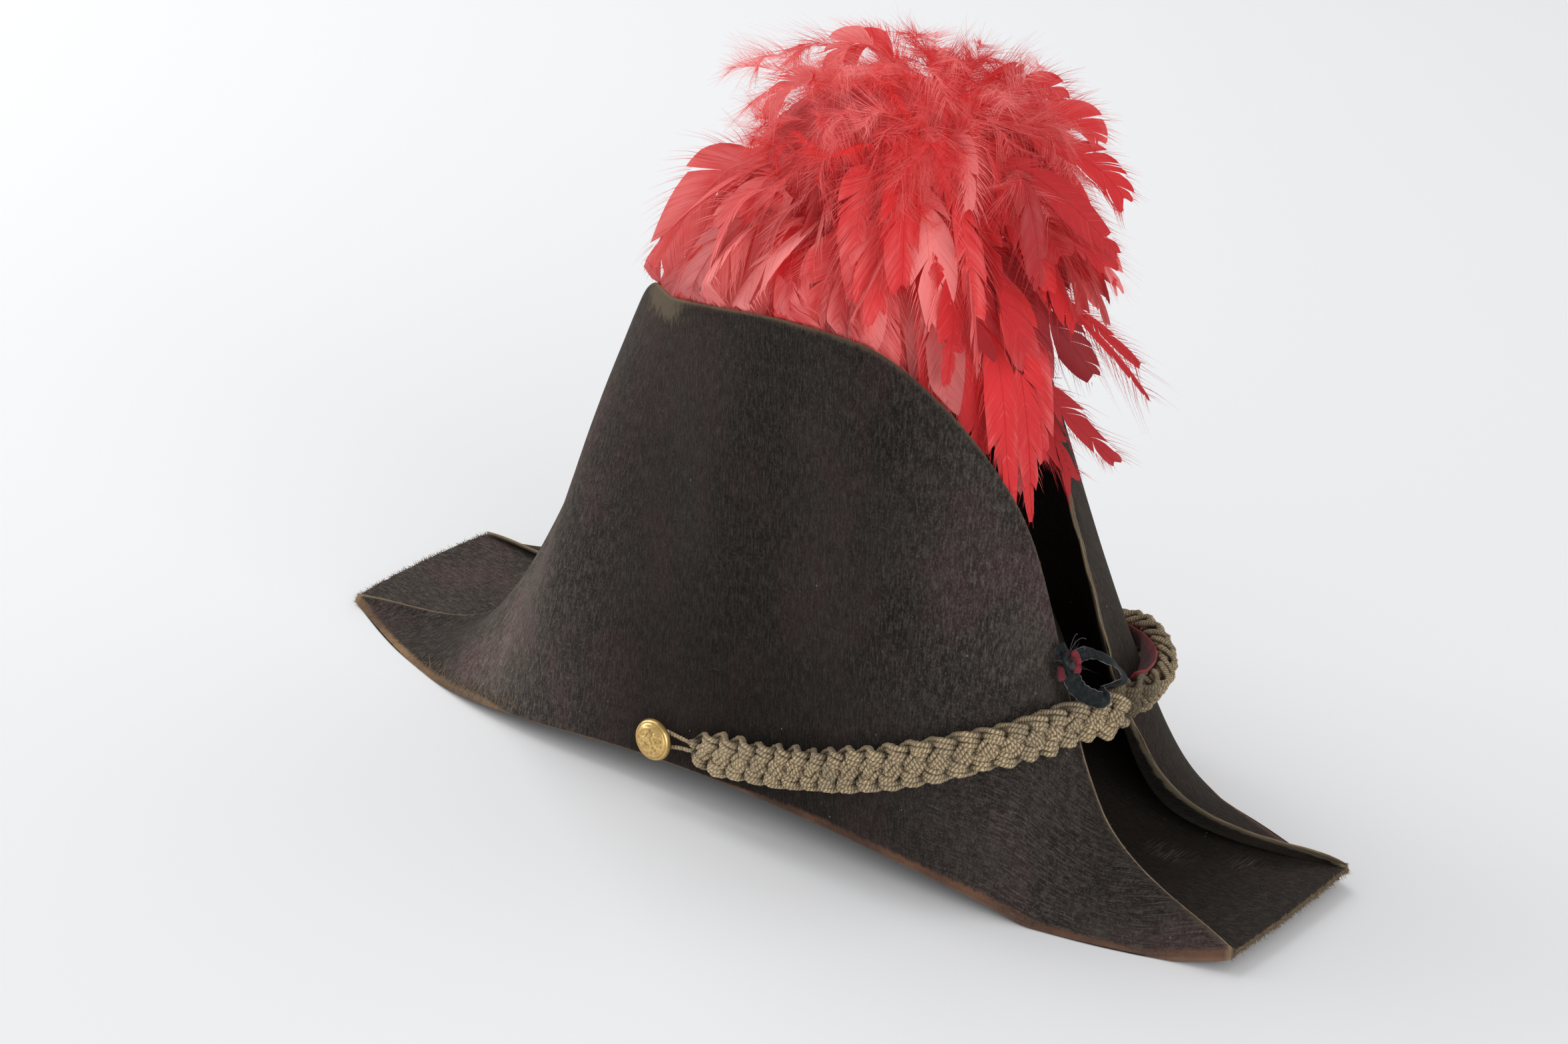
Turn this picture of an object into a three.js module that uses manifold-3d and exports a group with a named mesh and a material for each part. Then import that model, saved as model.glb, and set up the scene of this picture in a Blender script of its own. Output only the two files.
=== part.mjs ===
// A felt bicorne worn fore and aft, with a plaited cord round its front and a drooping feather plume.
// Millimetres, +X to the hat's front, +Y to the wearer's left, +Z up.
// The origin lies on the surface that the peaks rest on, under the middle of the hat's length.

import * as THREE from 'three';
import { mergeVertices } from 'three/addons/utils/BufferGeometryUtils.js';
import Module from 'manifold-3d';

const wasm = await Module();
wasm.setup();

// Driving sizes
const wall = 2.4; // felt thickness
const seamGap = 0.7; // clearance round the crown
const touchGap = 0.35; // clearance between trim and what carries it
const foldedOver = 0.35; // how far the flaps lean towards the middle of the length as they rise

// The raised flap from its rear tip to its front tip. Each row is one section, from the fold at the
// bottom (foldX, foldY, foldZ) to the free edge at the top (rimX, rimY, rimZ). hollow is how far the
// section's middle is drawn in; a negative one bellies out. Y is half of the hat's width.
const flapRows = [
  { foldX: -207.5, foldY: 39.0, foldZ: 0.8, rimX: -206.5, rimY: 37.8, rimZ: 4.4, hollow: 0 },
  { foldX: -163.5, foldY: 57.5, foldZ: -1.5, rimX: -138.0, rimY: 28.0, rimZ: 18.0, hollow: 4 },
  { foldX: -121.5, foldY: 69.0, foldZ: 2.0, rimX: -86.0, rimY: 19.5, rimZ: 125.0, hollow: 6 },
  { foldX: -81.0, foldY: 72.0, foldZ: 6.0, rimX: -56.0, rimY: 31.5, rimZ: 176.6, hollow: -8 },
  { foldX: -40.5, foldY: 70.5, foldZ: 10.0, rimX: -31.5, rimY: 47.5, rimZ: 183.0, hollow: 0 },
  { foldX: 0.0, foldY: 69.0, foldZ: 12.0, rimX: -4.5, rimY: 52.5, rimZ: 188.0, hollow: -1 },
  { foldX: 40.0, foldY: 69.0, foldZ: 12.5, rimX: 25.0, rimY: 48.5, rimZ: 189.0, hollow: 2 },
  { foldX: 78.0, foldY: 68.5, foldZ: 11.0, rimX: 58.5, rimY: 38.5, rimZ: 181.5, hollow: -3 },
  { foldX: 115.5, foldY: 64.0, foldZ: 6.0, rimX: 96.5, rimY: 14.0, rimZ: 129.5, hollow: -2 },
  { foldX: 159.0, foldY: 54.0, foldZ: -2.0, rimX: 143.5, rimY: 19.5, rimZ: 25.0, hollow: 14 },
  { foldX: 207.5, foldY: 37.5, foldZ: 5.5, rimX: 206.5, rimY: 36.0, rimZ: 9.0, hollow: 0 },
];
const flapSteps = 36; // sections along a flap
const flapRises = 7; // faces up a section

// The crown is an oval dome that stands in the brim's oval opening.
const crown = { halfLength: 111, halfWidth: 62, height: 118, fullness: 2.4, around: 36, rises: 6 };

// The brim's faces from the opening out to its edge. The two middle rings lie where the peaks rest.
const brimRings = [0, 0.42, 0.6, 1];
const brimTuck = 1;
const brimEndSteps = 3; // points across each peak's cut end

// The plaited cord in two lengths that meet at the front, each from its button forwards.
// station counts flap rows, height is above the floor and off is the middle's distance from the felt.
const braid = {
  tall: 16.4, thick: 8.5, scallop: 0.7, pitch: 8.3, taper: 12, spacing: 4.2, sides: 8,
  buttonEnd: 0.42, frontEnd: 0.75,
};
const braidRight = [
  { station: 5.02, height: 25.5, off: 5.6 },
  { station: 5.75, height: 29.0, off: 5.6 },
  { station: 6.35, height: 34.5, off: 5.6 },
  { station: 6.9, height: 41.5, off: 5.6 },
  { station: 7.4, height: 48.5, off: 5.6 },
  { station: 7.85, height: 53.5, off: 5.8 },
  { station: 8.2, height: 56.0, off: 6.6 },
  { station: 8.6, height: 57.5, off: 7.6 },
];
const braidLeft = [
  { station: 5.02, height: 25.5, off: 6.8 },
  { station: 5.75, height: 28.5, off: 6.8 },
  { station: 6.35, height: 33.5, off: 6.8 },
  { station: 6.9, height: 40.5, off: 6.8 },
  { station: 7.4, height: 47.5, off: 6.9 },
  { station: 7.75, height: 51.5, off: 8.0 },
];
// Where the cord leaves the flaps. lean tips the cord's upper edge outward, in degrees.
const rightFront = [{ x: 136, y: -1, z: 59, lean: 0 }];
const leftFront = [
  { x: 120.6, y: 43.7, z: 55.5, lean: 12 },
  { x: 129, y: 29, z: 56.5, lean: 30 },
  { x: 132.5, y: 16.2, z: 58.4, lean: 28 },
  { x: 131.5, y: 5.5, z: 60.5, lean: 22 },
  { x: 129.5, y: -5, z: 63.5, lean: 10 },
];

// The red cloth on the inner face of the cord
const backing = { tall: 9.6, thick: 1.0, lift: 2.1, spacing: 4.2, tail: 16, clear: 0.45 };

// Domed buttons hold the cord's ends.
const button = { station: 4.56, height: 22.4, radius: 7.9, dome: 3.2, rim: 1.5, shank: 1.6, stand: 4.4 };
const buttonLoop = { radius: 0.9, sides: 3, steps: 18 };

// A black ribbon ties the cord to the front edges of the flaps.
const ribbon = { width: 6, thick: 0.9, knotRadius: 4.4, knotStation: 8.42, knotHeight: 78, from: 0.935 };

// The plume stands on a post over the crown and its feathers droop in tiers of locks.
// ahead and aside are how far in front and to the left of the post a tier's middle lies.
const plume = { x: 18, y: 2, headHeight: 226, headLong: 46, headAcross: 34, headTall: 37, clear: 1.2 };
const plumeTiers = [
  { locks: 10, turn: 0.0, ahead: 0, aside: 0, root: 206, crest: 208, tip: 160,
    long: 76, across: 42, width: 28 },
  { locks: 11, turn: 0.4, ahead: 4, aside: 3, root: 218, crest: 230, tip: 184,
    long: 80, across: 50, width: 29 },
  { locks: 11, turn: 0.1, ahead: 10, aside: 8, root: 230, crest: 248, tip: 208,
    long: 70, across: 54, width: 26 },
  { locks: 8, turn: 0.6, ahead: 15, aside: 11, root: 240, crest: 264, tip: 240,
    long: 52, across: 44, width: 25 },
  { locks: 4, turn: 0.3, ahead: 17, aside: 12, root: 246, crest: 272, tip: 266,
    long: 27, across: 24, width: 22 },
];
// Single long locks that hang at the front, by bearing in degrees from straight ahead
const plumeFalls = [
  { bearing: -3, ahead: 0, aside: 0, reach: 80, root: 214, crest: 212, tip: 117, width: 20 },
  { bearing: 24, ahead: 0, aside: 0, reach: 88, root: 216, crest: 222, tip: 142, width: 18 },
  { bearing: 40, ahead: 0, aside: 0, reach: 90, root: 218, crest: 226, tip: 158, width: 18 },
];
const lockThick = 7;
const lockSections = 5;
const post = { radius: 3, foot: 6.5, footThick: 1.6, seat: 116.6, sides: 12 };

const colours = {
  felt: { color: 0x2b2521, roughness: 0.95, metalness: 0 },
  cord: { color: 0x84745a, roughness: 0.85, metalness: 0 },
  redCloth: { color: 0x8a2631, roughness: 0.9, metalness: 0 },
  gilt: { color: 0xc4983c, roughness: 0.35, metalness: 1 },
  ribbon: { color: 0x1c2027, roughness: 0.7, metalness: 0 },
  feathers: { color: 0xd0474c, roughness: 0.85, metalness: 0 },
  wire: { color: 0x3a3230, roughness: 0.7, metalness: 0.2 },
};

// Closed surfaces

function geometryOf(points, triangles) {
  let volume = 0;
  for (const [a, b, c] of triangles) {
    volume += points[a].dot(new THREE.Vector3().crossVectors(points[b], points[c])) / 6;
  }
  const turned = volume < 0 ? triangles.map(([a, b, c]) => [a, c, b]) : triangles;
  const geometry = new THREE.BufferGeometry();
  geometry.setAttribute('position', new THREE.Float32BufferAttribute(points.flatMap((p) => p.toArray()), 3));
  geometry.setIndex(turned.flat());
  return geometry;
}

// Joins loops of points into one closed skin. A loop of one point is an apex. An end loop with more
// points is closed across, point j to point n - 1 - j, and a ring joins its last loop to its first.
function loft(loops, ring = false) {
  const starts = [];
  const points = [];
  for (const loop of loops) {
    starts.push(points.length);
    points.push(...loop);
  }
  const triangles = [];
  const joins = ring ? loops.length : loops.length - 1;
  for (let i = 0; i < joins; i++) {
    const k = (i + 1) % loops.length;
    const count = Math.max(loops[i].length, loops[k].length);
    const here = (j) => starts[i] + (j % loops[i].length);
    const next = (j) => starts[k] + (j % loops[k].length);
    for (let j = 0; j < count; j++) {
      if (loops[i].length > 1) triangles.push([here(j), here(j + 1), next(j)]);
      if (loops[k].length > 1) triangles.push([here(j + 1), next(j + 1), next(j)]);
    }
  }
  if (!ring) {
    for (const [end, flip] of [[0, true], [loops.length - 1, false]]) {
      const n = loops[end].length;
      for (let j = 0; j + 1 < n - 1 - j; j++) {
        const quad = [j, j + 1, n - 2 - j, n - 1 - j].map((index) => starts[end] + index);
        const pair = [[quad[0], quad[1], quad[3]]];
        if (j + 1 < n - 2 - j) pair.push([quad[1], quad[2], quad[3]]);
        for (const [a, b, c] of pair) triangles.push(flip ? [c, b, a] : [a, b, c]);
      }
    }
  }
  return geometryOf(points, triangles);
}

function weld(geometry) {
  geometry.deleteAttribute('normal');
  geometry.deleteAttribute('uv');
  return mergeVertices(geometry, 1e-3);
}

function solidOf(geometry) {
  const vertProperties = new Float32Array(geometry.getAttribute('position').array);
  const triVerts = new Uint32Array(geometry.getIndex().array);
  return new wasm.Manifold(new wasm.Mesh({ numProp: 3, vertProperties, triVerts }));
}

function geometryFrom(solid) {
  const mesh = solid.getMesh();
  const geometry = new THREE.BufferGeometry();
  geometry.setAttribute('position', new THREE.BufferAttribute(mesh.vertProperties, 3));
  geometry.setIndex(new THREE.BufferAttribute(mesh.triVerts, 1));
  return geometry;
}

function fused(geometries) {
  return geometries.map(solidOf).reduce((sum, solid) => sum.add(solid));
}

function piece(name, geometry, material) {
  const mesh = new THREE.Mesh(geometry, new THREE.MeshStandardMaterial(colours[material]));
  mesh.name = name;
  return mesh;
}

// The flap's shape, worked out on the wearer's left and mirrored for the right

const curveThrough = (pick) => new THREE.CatmullRomCurve3(flapRows.map(pick), false, 'centripetal');
const foldCurve = curveThrough((r) => new THREE.Vector3(r.foldX, r.foldY, r.foldZ));
const rimCurve = curveThrough((r) => new THREE.Vector3(r.rimX, r.rimY, r.rimZ));
const lastRow = flapRows.length - 1;

const hollowCurve = new THREE.SplineCurve(flapRows.map((r, i) => new THREE.Vector2(i, r.hollow)));

function sectionAt(u) {
  const fold = foldCurve.getPoint(u);
  fold.z = Math.max(0, fold.z);
  const rim = rimCurve.getPoint(u);
  const inward = new THREE.Vector3(-foldedOver * fold.x, -fold.y, 0).normalize();
  const middle = fold.clone().lerp(rim, 0.5).addScaledVector(inward, 2 * hollowCurve.getPoint(u).y);
  return new THREE.QuadraticBezierCurve3(fold, middle, rim);
}

const outerPoint = (u, v) => sectionAt(u).getPoint(v);

function outwardAt(u, v) {
  const step = 0.004;
  const [u0, u1] = [Math.max(0, u - step), Math.min(1, u + step)];
  const [v0, v1] = [Math.max(0, v - step), Math.min(1, v + step)];
  const along = outerPoint(u1, v).sub(outerPoint(u0, v));
  const up = outerPoint(u, v1).sub(outerPoint(u, v0));
  const out = new THREE.Vector3().crossVectors(up, along).normalize();
  const middle = outerPoint(u, v);
  return out.dot(new THREE.Vector3(middle.x * foldedOver, middle.y, 0)) < 0 ? out.negate() : out;
}

function pointAtHeight(column, z) {
  for (let j = 0; j + 1 < column.length; j++) {
    const [low, high] = [column[j], column[j + 1]];
    if (low.z <= z && z <= high.z) return low.clone().lerp(high, (z - low.z) / (high.z - low.z));
  }
  return column[z < column[0].z ? 0 : column.length - 1].clone();
}

function spread(column, count) {
  const path = new THREE.CurvePath();
  for (let j = 0; j + 1 < column.length; j++) path.add(new THREE.LineCurve3(column[j], column[j + 1]));
  return Array.from({ length: count + 1 }, (_, j) => path.getPointAt(j / count));
}

// The felt's inner face at one section, from the fold's level to the free edge
function innerColumn(u, thickness) {
  const level = sectionAt(u).v0.z;
  const fine = 4 * flapRises;
  const offset = [];
  for (let j = 0; j <= fine; j++) {
    offset.push(outerPoint(u, j / fine).addScaledVector(outwardAt(u, j / fine), -thickness));
  }
  const above = offset.filter((point) => point.z > level + 0.05);
  const foot = pointAtHeight(offset, level);
  foot.z = level;
  return spread([foot, ...above], flapRises);
}

function outerColumn(u, stand) {
  return Array.from({ length: flapRises + 1 }, (_, j) =>
    outerPoint(u, j / flapRises).addScaledVector(outwardAt(u, j / flapRises), stand));
}

const stations = Array.from({ length: flapSteps + 1 }, (_, i) => i / flapSteps);
const mirrored = (points) => points.map((p) => new THREE.Vector3(p.x, -p.y, p.z));

// A flap, or with a margin the space that other pieces keep out of
function flapGeometry(side, margin = 0) {
  const loops = stations.map((u) => {
    const past = new THREE.Vector3((u === 1 ? margin : 0) - (u === 0 ? margin : 0), 0, 0);
    const outer = outerColumn(u, margin);
    const inner = innerColumn(u, wall + margin);
    const rise = outer.at(-1).clone().sub(outer.at(-2)).setLength(margin);
    for (const column of [outer, inner]) {
      column.at(-1).add(rise);
      column[0].z -= margin;
    }
    return [...outer, ...inner.reverse()].map((point) => point.add(past));
  });
  return loft(side > 0 ? loops : loops.map(mirrored));
}

// Cuts away what comes nearer to the flaps than the margin and keeps the largest body.
function trimmed(solid, margin) {
  const clear = [1, -1].reduce((rest, side) => rest.subtract(solidOf(flapGeometry(side, margin))), solid);
  const [largest] = clear.decompose().sort((a, b) => b.volume() - a.volume());
  return largest;
}

// The brim and the crown

const foldSamples = Array.from({ length: 401 }, (_, i) => foldCurve.getPoint(i / 400));

function brimLevel(x) {
  const k = Math.max(1, foldSamples.findIndex((p) => p.x >= x));
  const [a, b] = [foldSamples[k - 1], foldSamples[k]];
  const share = THREE.MathUtils.clamp((x - a.x) / (b.x - a.x), 0, 1);
  return Math.max(0, THREE.MathUtils.lerp(a.z, b.z, share));
}

// The brim's outline at its lower or upper face, a little into the flaps, which then trim it
function brimEdge(rise) {
  const touch = stations.filter((_, i) => i % 2 === 0).map((u) => {
    const column = innerColumn(u, wall);
    const over = (point) => point.z - brimLevel(point.x) - rise;
    const k = column.findIndex((point) => over(point) >= 0);
    if (k === 0) return column[0];
    const [low, high] = [column[k - 1], column[k]];
    return low.clone().lerp(high, over(low) / (over(low) - over(high)));
  });
  const left = touch.map((point, i) => {
    const ahead = touch[Math.min(i + 1, touch.length - 1)];
    const behind = touch[Math.max(i - 1, 0)];
    const inward = new THREE.Vector2(ahead.y - behind.y, behind.x - ahead.x).normalize();
    return new THREE.Vector2(point.x, point.y).addScaledVector(inward, -brimTuck);
  });
  left[0].x = flapRows[0].foldX;
  left.at(-1).x = flapRows[lastRow].foldX;
  const right = left.map((p) => new THREE.Vector2(p.x, -p.y)).reverse();
  const across = (from, to) =>
    Array.from({ length: brimEndSteps }, (_, i) => from.clone().lerp(to, (i + 1) / (brimEndSteps + 1)));
  return [...left, ...across(left.at(-1), right[0]), ...right, ...across(right.at(-1), left[0])];
}

function brimGeometry() {
  const opening = { a: crown.halfLength + seamGap, b: crown.halfWidth + seamGap };
  const low = brimEdge(0);
  const high = brimEdge(wall);
  const spot = (edge, share, lift) => {
    const angle = Math.atan2(edge.y / opening.b, edge.x / opening.a);
    const inner = new THREE.Vector2(opening.a * Math.cos(angle), opening.b * Math.sin(angle));
    const at = inner.lerp(edge, share);
    return new THREE.Vector3(at.x, at.y, brimLevel(at.x) + lift);
  };
  const loops = low.map((edge, i) => [
    ...brimRings.map((share) => spot(edge, share, 0)),
    ...[...brimRings].reverse().map((share) => spot(high[i], share, wall)),
  ]);
  return geometryFrom(trimmed(solidOf(loft(loops, true)), 1.3 * touchGap));
}

function crownRing(shrink, share) {
  const height = crown.height - shrink;
  const full = Math.sqrt(1 - Math.pow(share, crown.fullness));
  return Array.from({ length: crown.around }, (_, i) => {
    const angle = (2 * Math.PI * i) / crown.around;
    const x = (crown.halfLength - shrink) * full * Math.cos(angle);
    const y = (crown.halfWidth - shrink) * full * Math.sin(angle);
    return new THREE.Vector3(x, y, height * share + brimLevel(x) * (1 - share));
  });
}

function crownGeometry() {
  const shares = Array.from({ length: crown.rises }, (_, i) => Math.sin((Math.PI / 2) * (i / crown.rises)));
  const outside = shares.map((share) => crownRing(0, share));
  const inside = shares.map((share) => crownRing(wall, share));
  const top = (shrink) => [new THREE.Vector3(0, 0, crown.height - shrink)];
  return loft([top(0), ...outside.reverse(), ...inside, top(wall)]);
}

// The plaited cord and what it fastens to

function onFlap(side, row) {
  const u = row.station / lastRow;
  let [low, high] = [0, 1];
  for (let halving = 0; halving < 20; halving++) {
    const middle = (low + high) / 2;
    if (outerPoint(u, middle).z < row.height) low = middle;
    else high = middle;
  }
  const out = outwardAt(u, low);
  const point = outerPoint(u, low).addScaledVector(out, row.off);
  point.y *= side;
  out.y *= side;
  return { point, out };
}

// One length of cord: its middle line, and the direction its outer face looks in
function cordRoute(side, rows, front) {
  const points = [];
  const outs = [];
  const column = (key) => new THREE.SplineCurve(rows.map((row, i) => new THREE.Vector2(i, row[key])));
  const columns = ['station', 'height', 'off'].map((key) => [key, column(key)]);
  const fine = 3 * (rows.length - 1);
  for (let i = 0; i <= fine; i++) {
    const row = Object.fromEntries(columns.map(([key, curve]) => [key, curve.getPoint(i / fine).y]));
    const { point, out } = onFlap(side, row);
    points.push(point);
    outs.push(out);
  }
  front.forEach(({ x, y, z, lean }, i) => {
    const before = i ? front[i - 1] : points.at(-1);
    const after = front[i + 1] ?? { x, y, z };
    const level = new THREE.Vector3(after.y - before.y, before.x - after.x, 0).normalize();
    if (level.x < 0) level.negate();
    const tip = THREE.MathUtils.degToRad(lean);
    outs.push(level.multiplyScalar(Math.cos(tip)).add(new THREE.Vector3(0, 0, -Math.sin(tip))));
    points.push(new THREE.Vector3(x, y, z));
  });
  const line = new THREE.CatmullRomCurve3(points, false, 'centripetal');
  const facing = new THREE.CatmullRomCurve3(outs, false, 'centripetal');
  return { line, facing, length: line.getLength() };
}

const rightCord = cordRoute(-1, braidRight, rightFront);
const leftCord = cordRoute(1, braidLeft, leftFront);

// The cord's own axes at a share of its length: its outer face looks along out and its upper edge along up
function cordFrame(cord, share) {
  const at = cord.line.getPointAt(share);
  const along = cord.line.getTangentAt(share);
  const out = cord.facing.getPoint(cord.line.getUtoTmapping(share));
  out.addScaledVector(along, -out.dot(along)).normalize();
  const up = new THREE.Vector3().crossVectors(out, along).normalize();
  if (up.z < 0) up.negate();
  return { at, along, out, up };
}

function cordGeometry(cord) {
  const steps = Math.round(cord.length / braid.spacing);
  const loops = [];
  for (let i = 0; i <= steps; i++) {
    const share = i / steps;
    const { at, out, up } = cordFrame(cord, share);
    const end = share < 0.5 ? braid.buttonEnd : braid.frontEnd;
    const fromEnd = Math.min(share, 1 - share) * cord.length;
    const full = end + (1 - end) * Math.sqrt(THREE.MathUtils.clamp(fromEnd / braid.taper, 0, 1));
    const bump = braid.scallop * Math.cos((2 * Math.PI * share * cord.length) / braid.pitch);
    const tall = (braid.tall / 2 + bump) * full;
    const thick = (braid.thick / 2) * full;
    loops.push(Array.from({ length: braid.sides }, (_, j) => {
      const angle = (2 * Math.PI * (j + 0.5)) / braid.sides;
      const [rise, depth] = [tall * Math.cos(angle), thick * Math.sin(angle)];
      return at.clone().addScaledVector(up, rise).addScaledVector(out, depth);
    }));
  }
  return loft(loops);
}

function backingGeometry() {
  const loops = [];
  const inset = backing.tail / leftCord.length;
  const steps = Math.round(leftCord.length / backing.spacing);
  const behind = -(braid.thick / 2 + backing.clear + backing.thick / 2);
  for (let i = 0; i <= steps; i++) {
    const { at, out, up } = cordFrame(leftCord, inset + (1 - 2 * inset) * (i / steps));
    const corner = (rise, depth) => at.clone()
      .addScaledVector(up, backing.lift + rise * (backing.tall / 2))
      .addScaledVector(out, behind + depth * (backing.thick / 2));
    loops.push([corner(-1, -1), corner(1, -1), corner(1, 1), corner(-1, 1)]);
  }
  return loft(loops);
}

function buttonAxes(side) {
  const seat = onFlap(side, { station: button.station, height: button.height, off: touchGap });
  return { seat: seat.point, out: seat.out };
}

function buttonGroup(side, name) {
  const profile = [
    [0, 0], [button.shank, 0], [button.shank, button.stand], [button.radius - 0.6, button.stand],
    [button.radius, button.stand + button.rim / 2], [button.radius - 0.5, button.stand + button.rim],
    [button.radius * 0.72, button.stand + button.rim + button.dome * 0.55],
    [button.radius * 0.38, button.stand + button.rim + button.dome * 0.9],
    [0, button.stand + button.rim + button.dome],
  ].map(([r, h]) => new THREE.Vector2(r, h));
  const mesh = piece(name, weld(new THREE.LatheGeometry(profile, 14)), 'gilt');
  const { seat, out } = buttonAxes(side);
  mesh.quaternion.setFromUnitVectors(new THREE.Vector3(0, 1, 0), out);
  mesh.position.copy(seat);
  return mesh;
}

// A hairpin of thin cord from the plait's end round the button's shank
function buttonLoopGeometry(side) {
  const { seat, out } = buttonAxes(side);
  const end = cordFrame(side < 0 ? rightCord : leftCord, 0);
  const reach = end.at.clone().sub(seat);
  const rise = reach.dot(out);
  reach.addScaledVector(out, -rise);
  const along = reach.clone().normalize();
  const across = new THREE.Vector3().crossVectors(out, along);
  const length = reach.length() - buttonLoop.radius;
  const low = button.stand * 0.5;
  const spot = (forward, sideways, height) => seat.clone().addScaledVector(out, height)
    .addScaledVector(along, forward).addScaledVector(across, sideways);
  const turn = button.shank + buttonLoop.radius + 1.5 * touchGap;
  const arm = (way) => [
    spot(2, way * turn, low), spot(length * 0.6, way * 2, low + 1), spot(length, way * 1.3, rise),
  ];
  const route = new THREE.CatmullRomCurve3([
    ...arm(1).reverse(), spot(-turn * 0.75, turn * 0.75, low), spot(-turn, 0, low),
    spot(-turn * 0.75, -turn * 0.75, low), ...arm(-1),
  ]);
  const section = new THREE.Shape().absarc(0, 0, buttonLoop.radius, 0, 2 * Math.PI);
  return weld(new THREE.ExtrudeGeometry(section, {
    extrudePath: route, steps: buttonLoop.steps, curveSegments: buttonLoop.sides,
  }));
}

// A flat strip along a curve; its width lies across the given direction
function stripGeometry(curve, facing, steps) {
  const loops = [];
  for (let i = 0; i <= steps; i++) {
    const at = curve.getPoint(i / steps);
    const along = curve.getTangent(i / steps);
    const wide = new THREE.Vector3().crossVectors(along, facing).setLength(ribbon.width / 2);
    const deep = new THREE.Vector3().crossVectors(wide, along).setLength(ribbon.thick / 2);
    loops.push([[1, 1], [-1, 1], [-1, -1], [1, -1]].map(([a, b]) =>
      at.clone().addScaledVector(wide, a).addScaledVector(deep, b)));
  }
  return loft(loops);
}

// The ribbon hangs from its knot at the right flap's front edge, over the cord and up again in a bow loop.
function ribbonGeometry() {
  const tied = { station: ribbon.knotStation, height: ribbon.knotHeight, off: ribbon.knotRadius + 0.6 };
  const knot = onFlap(-1, tied).point;
  const { at, out, up } = cordFrame(rightCord, ribbon.from);
  const over = at.clone().addScaledVector(up, braid.tall / 2 + braid.scallop + 1.6);
  const sag = new THREE.CatmullRomCurve3([
    knot, knot.clone().lerp(over, 0.5).addScaledVector(out, 3), over,
  ]);
  const bow = new THREE.CatmullRomCurve3([
    knot, knot.clone().add(new THREE.Vector3(6, 5, 1.5)), knot.clone().add(new THREE.Vector3(11, 9, -4)),
    over.clone().add(new THREE.Vector3(1, 2.5, 2)), over,
  ]);
  const ball = weld(new THREE.IcosahedronGeometry(ribbon.knotRadius, 1)).translate(...knot.toArray());
  const turned = new THREE.Vector3(0.6, -0.6, 0.5);
  return geometryFrom(fused([stripGeometry(sag, out, 6), stripGeometry(bow, turned, 10), ball]));
}

// The plume

// One drooping lock, a leaf-shaped blade from inside the head out over the crest and down to its tip
function lockGeometry(lock, angle, sway) {
  const spot = (reach, height) => new THREE.Vector3(
    plume.x + lock.ahead + lock.long * reach * Math.cos(angle),
    plume.y + lock.aside + lock.across * reach * Math.sin(angle),
    height,
  );
  const path = new THREE.CubicBezierCurve3(
    spot(0.2, lock.root), spot(0.6, lock.crest + 5 * sway), spot(1.04 + 0.05 * sway, lock.crest),
    spot(1 + 0.06 * sway, lock.tip + 7 * sway),
  );
  const level = new THREE.Vector3(-Math.sin(angle), Math.cos(angle), 0);
  const loops = [];
  for (let i = 0; i < lockSections; i++) {
    const share = i / lockSections;
    const at = path.getPoint(share);
    const flat = new THREE.Vector3().crossVectors(path.getTangent(share), level).normalize();
    const swell = 0.45 + 0.55 * Math.sin(Math.PI * Math.min(1, share * 0.9 + 0.15));
    const wide = (lock.width / 2) * swell;
    const deep = (lockThick / 2) * swell;
    loops.push([
      at.clone().addScaledVector(level, wide), at.clone().addScaledVector(flat, deep),
      at.clone().addScaledVector(level, -wide), at.clone().addScaledVector(flat, -deep),
    ]);
  }
  return loft([...loops, [path.getPoint(1)]]);
}

function plumeGeometry() {
  const head = weld(new THREE.SphereGeometry(1, 14, 8)).rotateX(Math.PI / 2)
    .scale(plume.headLong, plume.headAcross, plume.headTall)
    .translate(plume.x, plume.y, plume.headHeight);
  const tiers = plumeTiers.flatMap((tier) => Array.from({ length: tier.locks }, (_, index) => {
    const angle = (2 * Math.PI * (index + tier.turn)) / tier.locks;
    return lockGeometry(tier, angle, Math.sin(7 * index + 3 * tier.turn));
  }));
  const falls = plumeFalls.map((fall) => {
    const lock = { ...fall, long: fall.reach, across: fall.reach };
    return lockGeometry(lock, THREE.MathUtils.degToRad(fall.bearing), 0);
  });
  return geometryFrom(trimmed(fused([head, ...tiers, ...falls]), plume.clear));
}

function postMesh() {
  const foot = post.seat + touchGap;
  const top = plume.headHeight - plume.headTall - touchGap;
  const profile = [
    [0, 0], [post.foot, 0], [post.foot, post.footThick], [post.radius, post.footThick + 2],
    [post.radius, top - foot], [0, top - foot],
  ].map(([r, h]) => new THREE.Vector2(r, h));
  const mesh = piece('plume_stem', weld(new THREE.LatheGeometry(profile, post.sides)), 'wire');
  mesh.rotation.x = Math.PI / 2;
  mesh.position.set(plume.x, plume.y, foot);
  return mesh;
}

const hat = new THREE.Group();
hat.add(
  piece('crown', crownGeometry(), 'felt'),
  piece('brim', brimGeometry(), 'felt'),
  piece('left_flap', flapGeometry(1), 'felt'),
  piece('right_flap', flapGeometry(-1), 'felt'),
  piece('braid', geometryFrom(fused([cordGeometry(rightCord), cordGeometry(leftCord)])), 'cord'),
  piece('braid_backing', backingGeometry(), 'redCloth'),
  buttonGroup(1, 'left_button'),
  buttonGroup(-1, 'right_button'),
  piece('left_button_loop', buttonLoopGeometry(1), 'cord'),
  piece('right_button_loop', buttonLoopGeometry(-1), 'cord'),
  piece('ribbon_tie', ribbonGeometry(), 'ribbon'),
  piece('plume', plumeGeometry(), 'feathers'),
  postMesh(),
);

export default hat;
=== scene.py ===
import bpy
import math
import numpy as np
from mathutils import Matrix, Vector, noise
from mathutils.bvhtree import BVHTree


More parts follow.
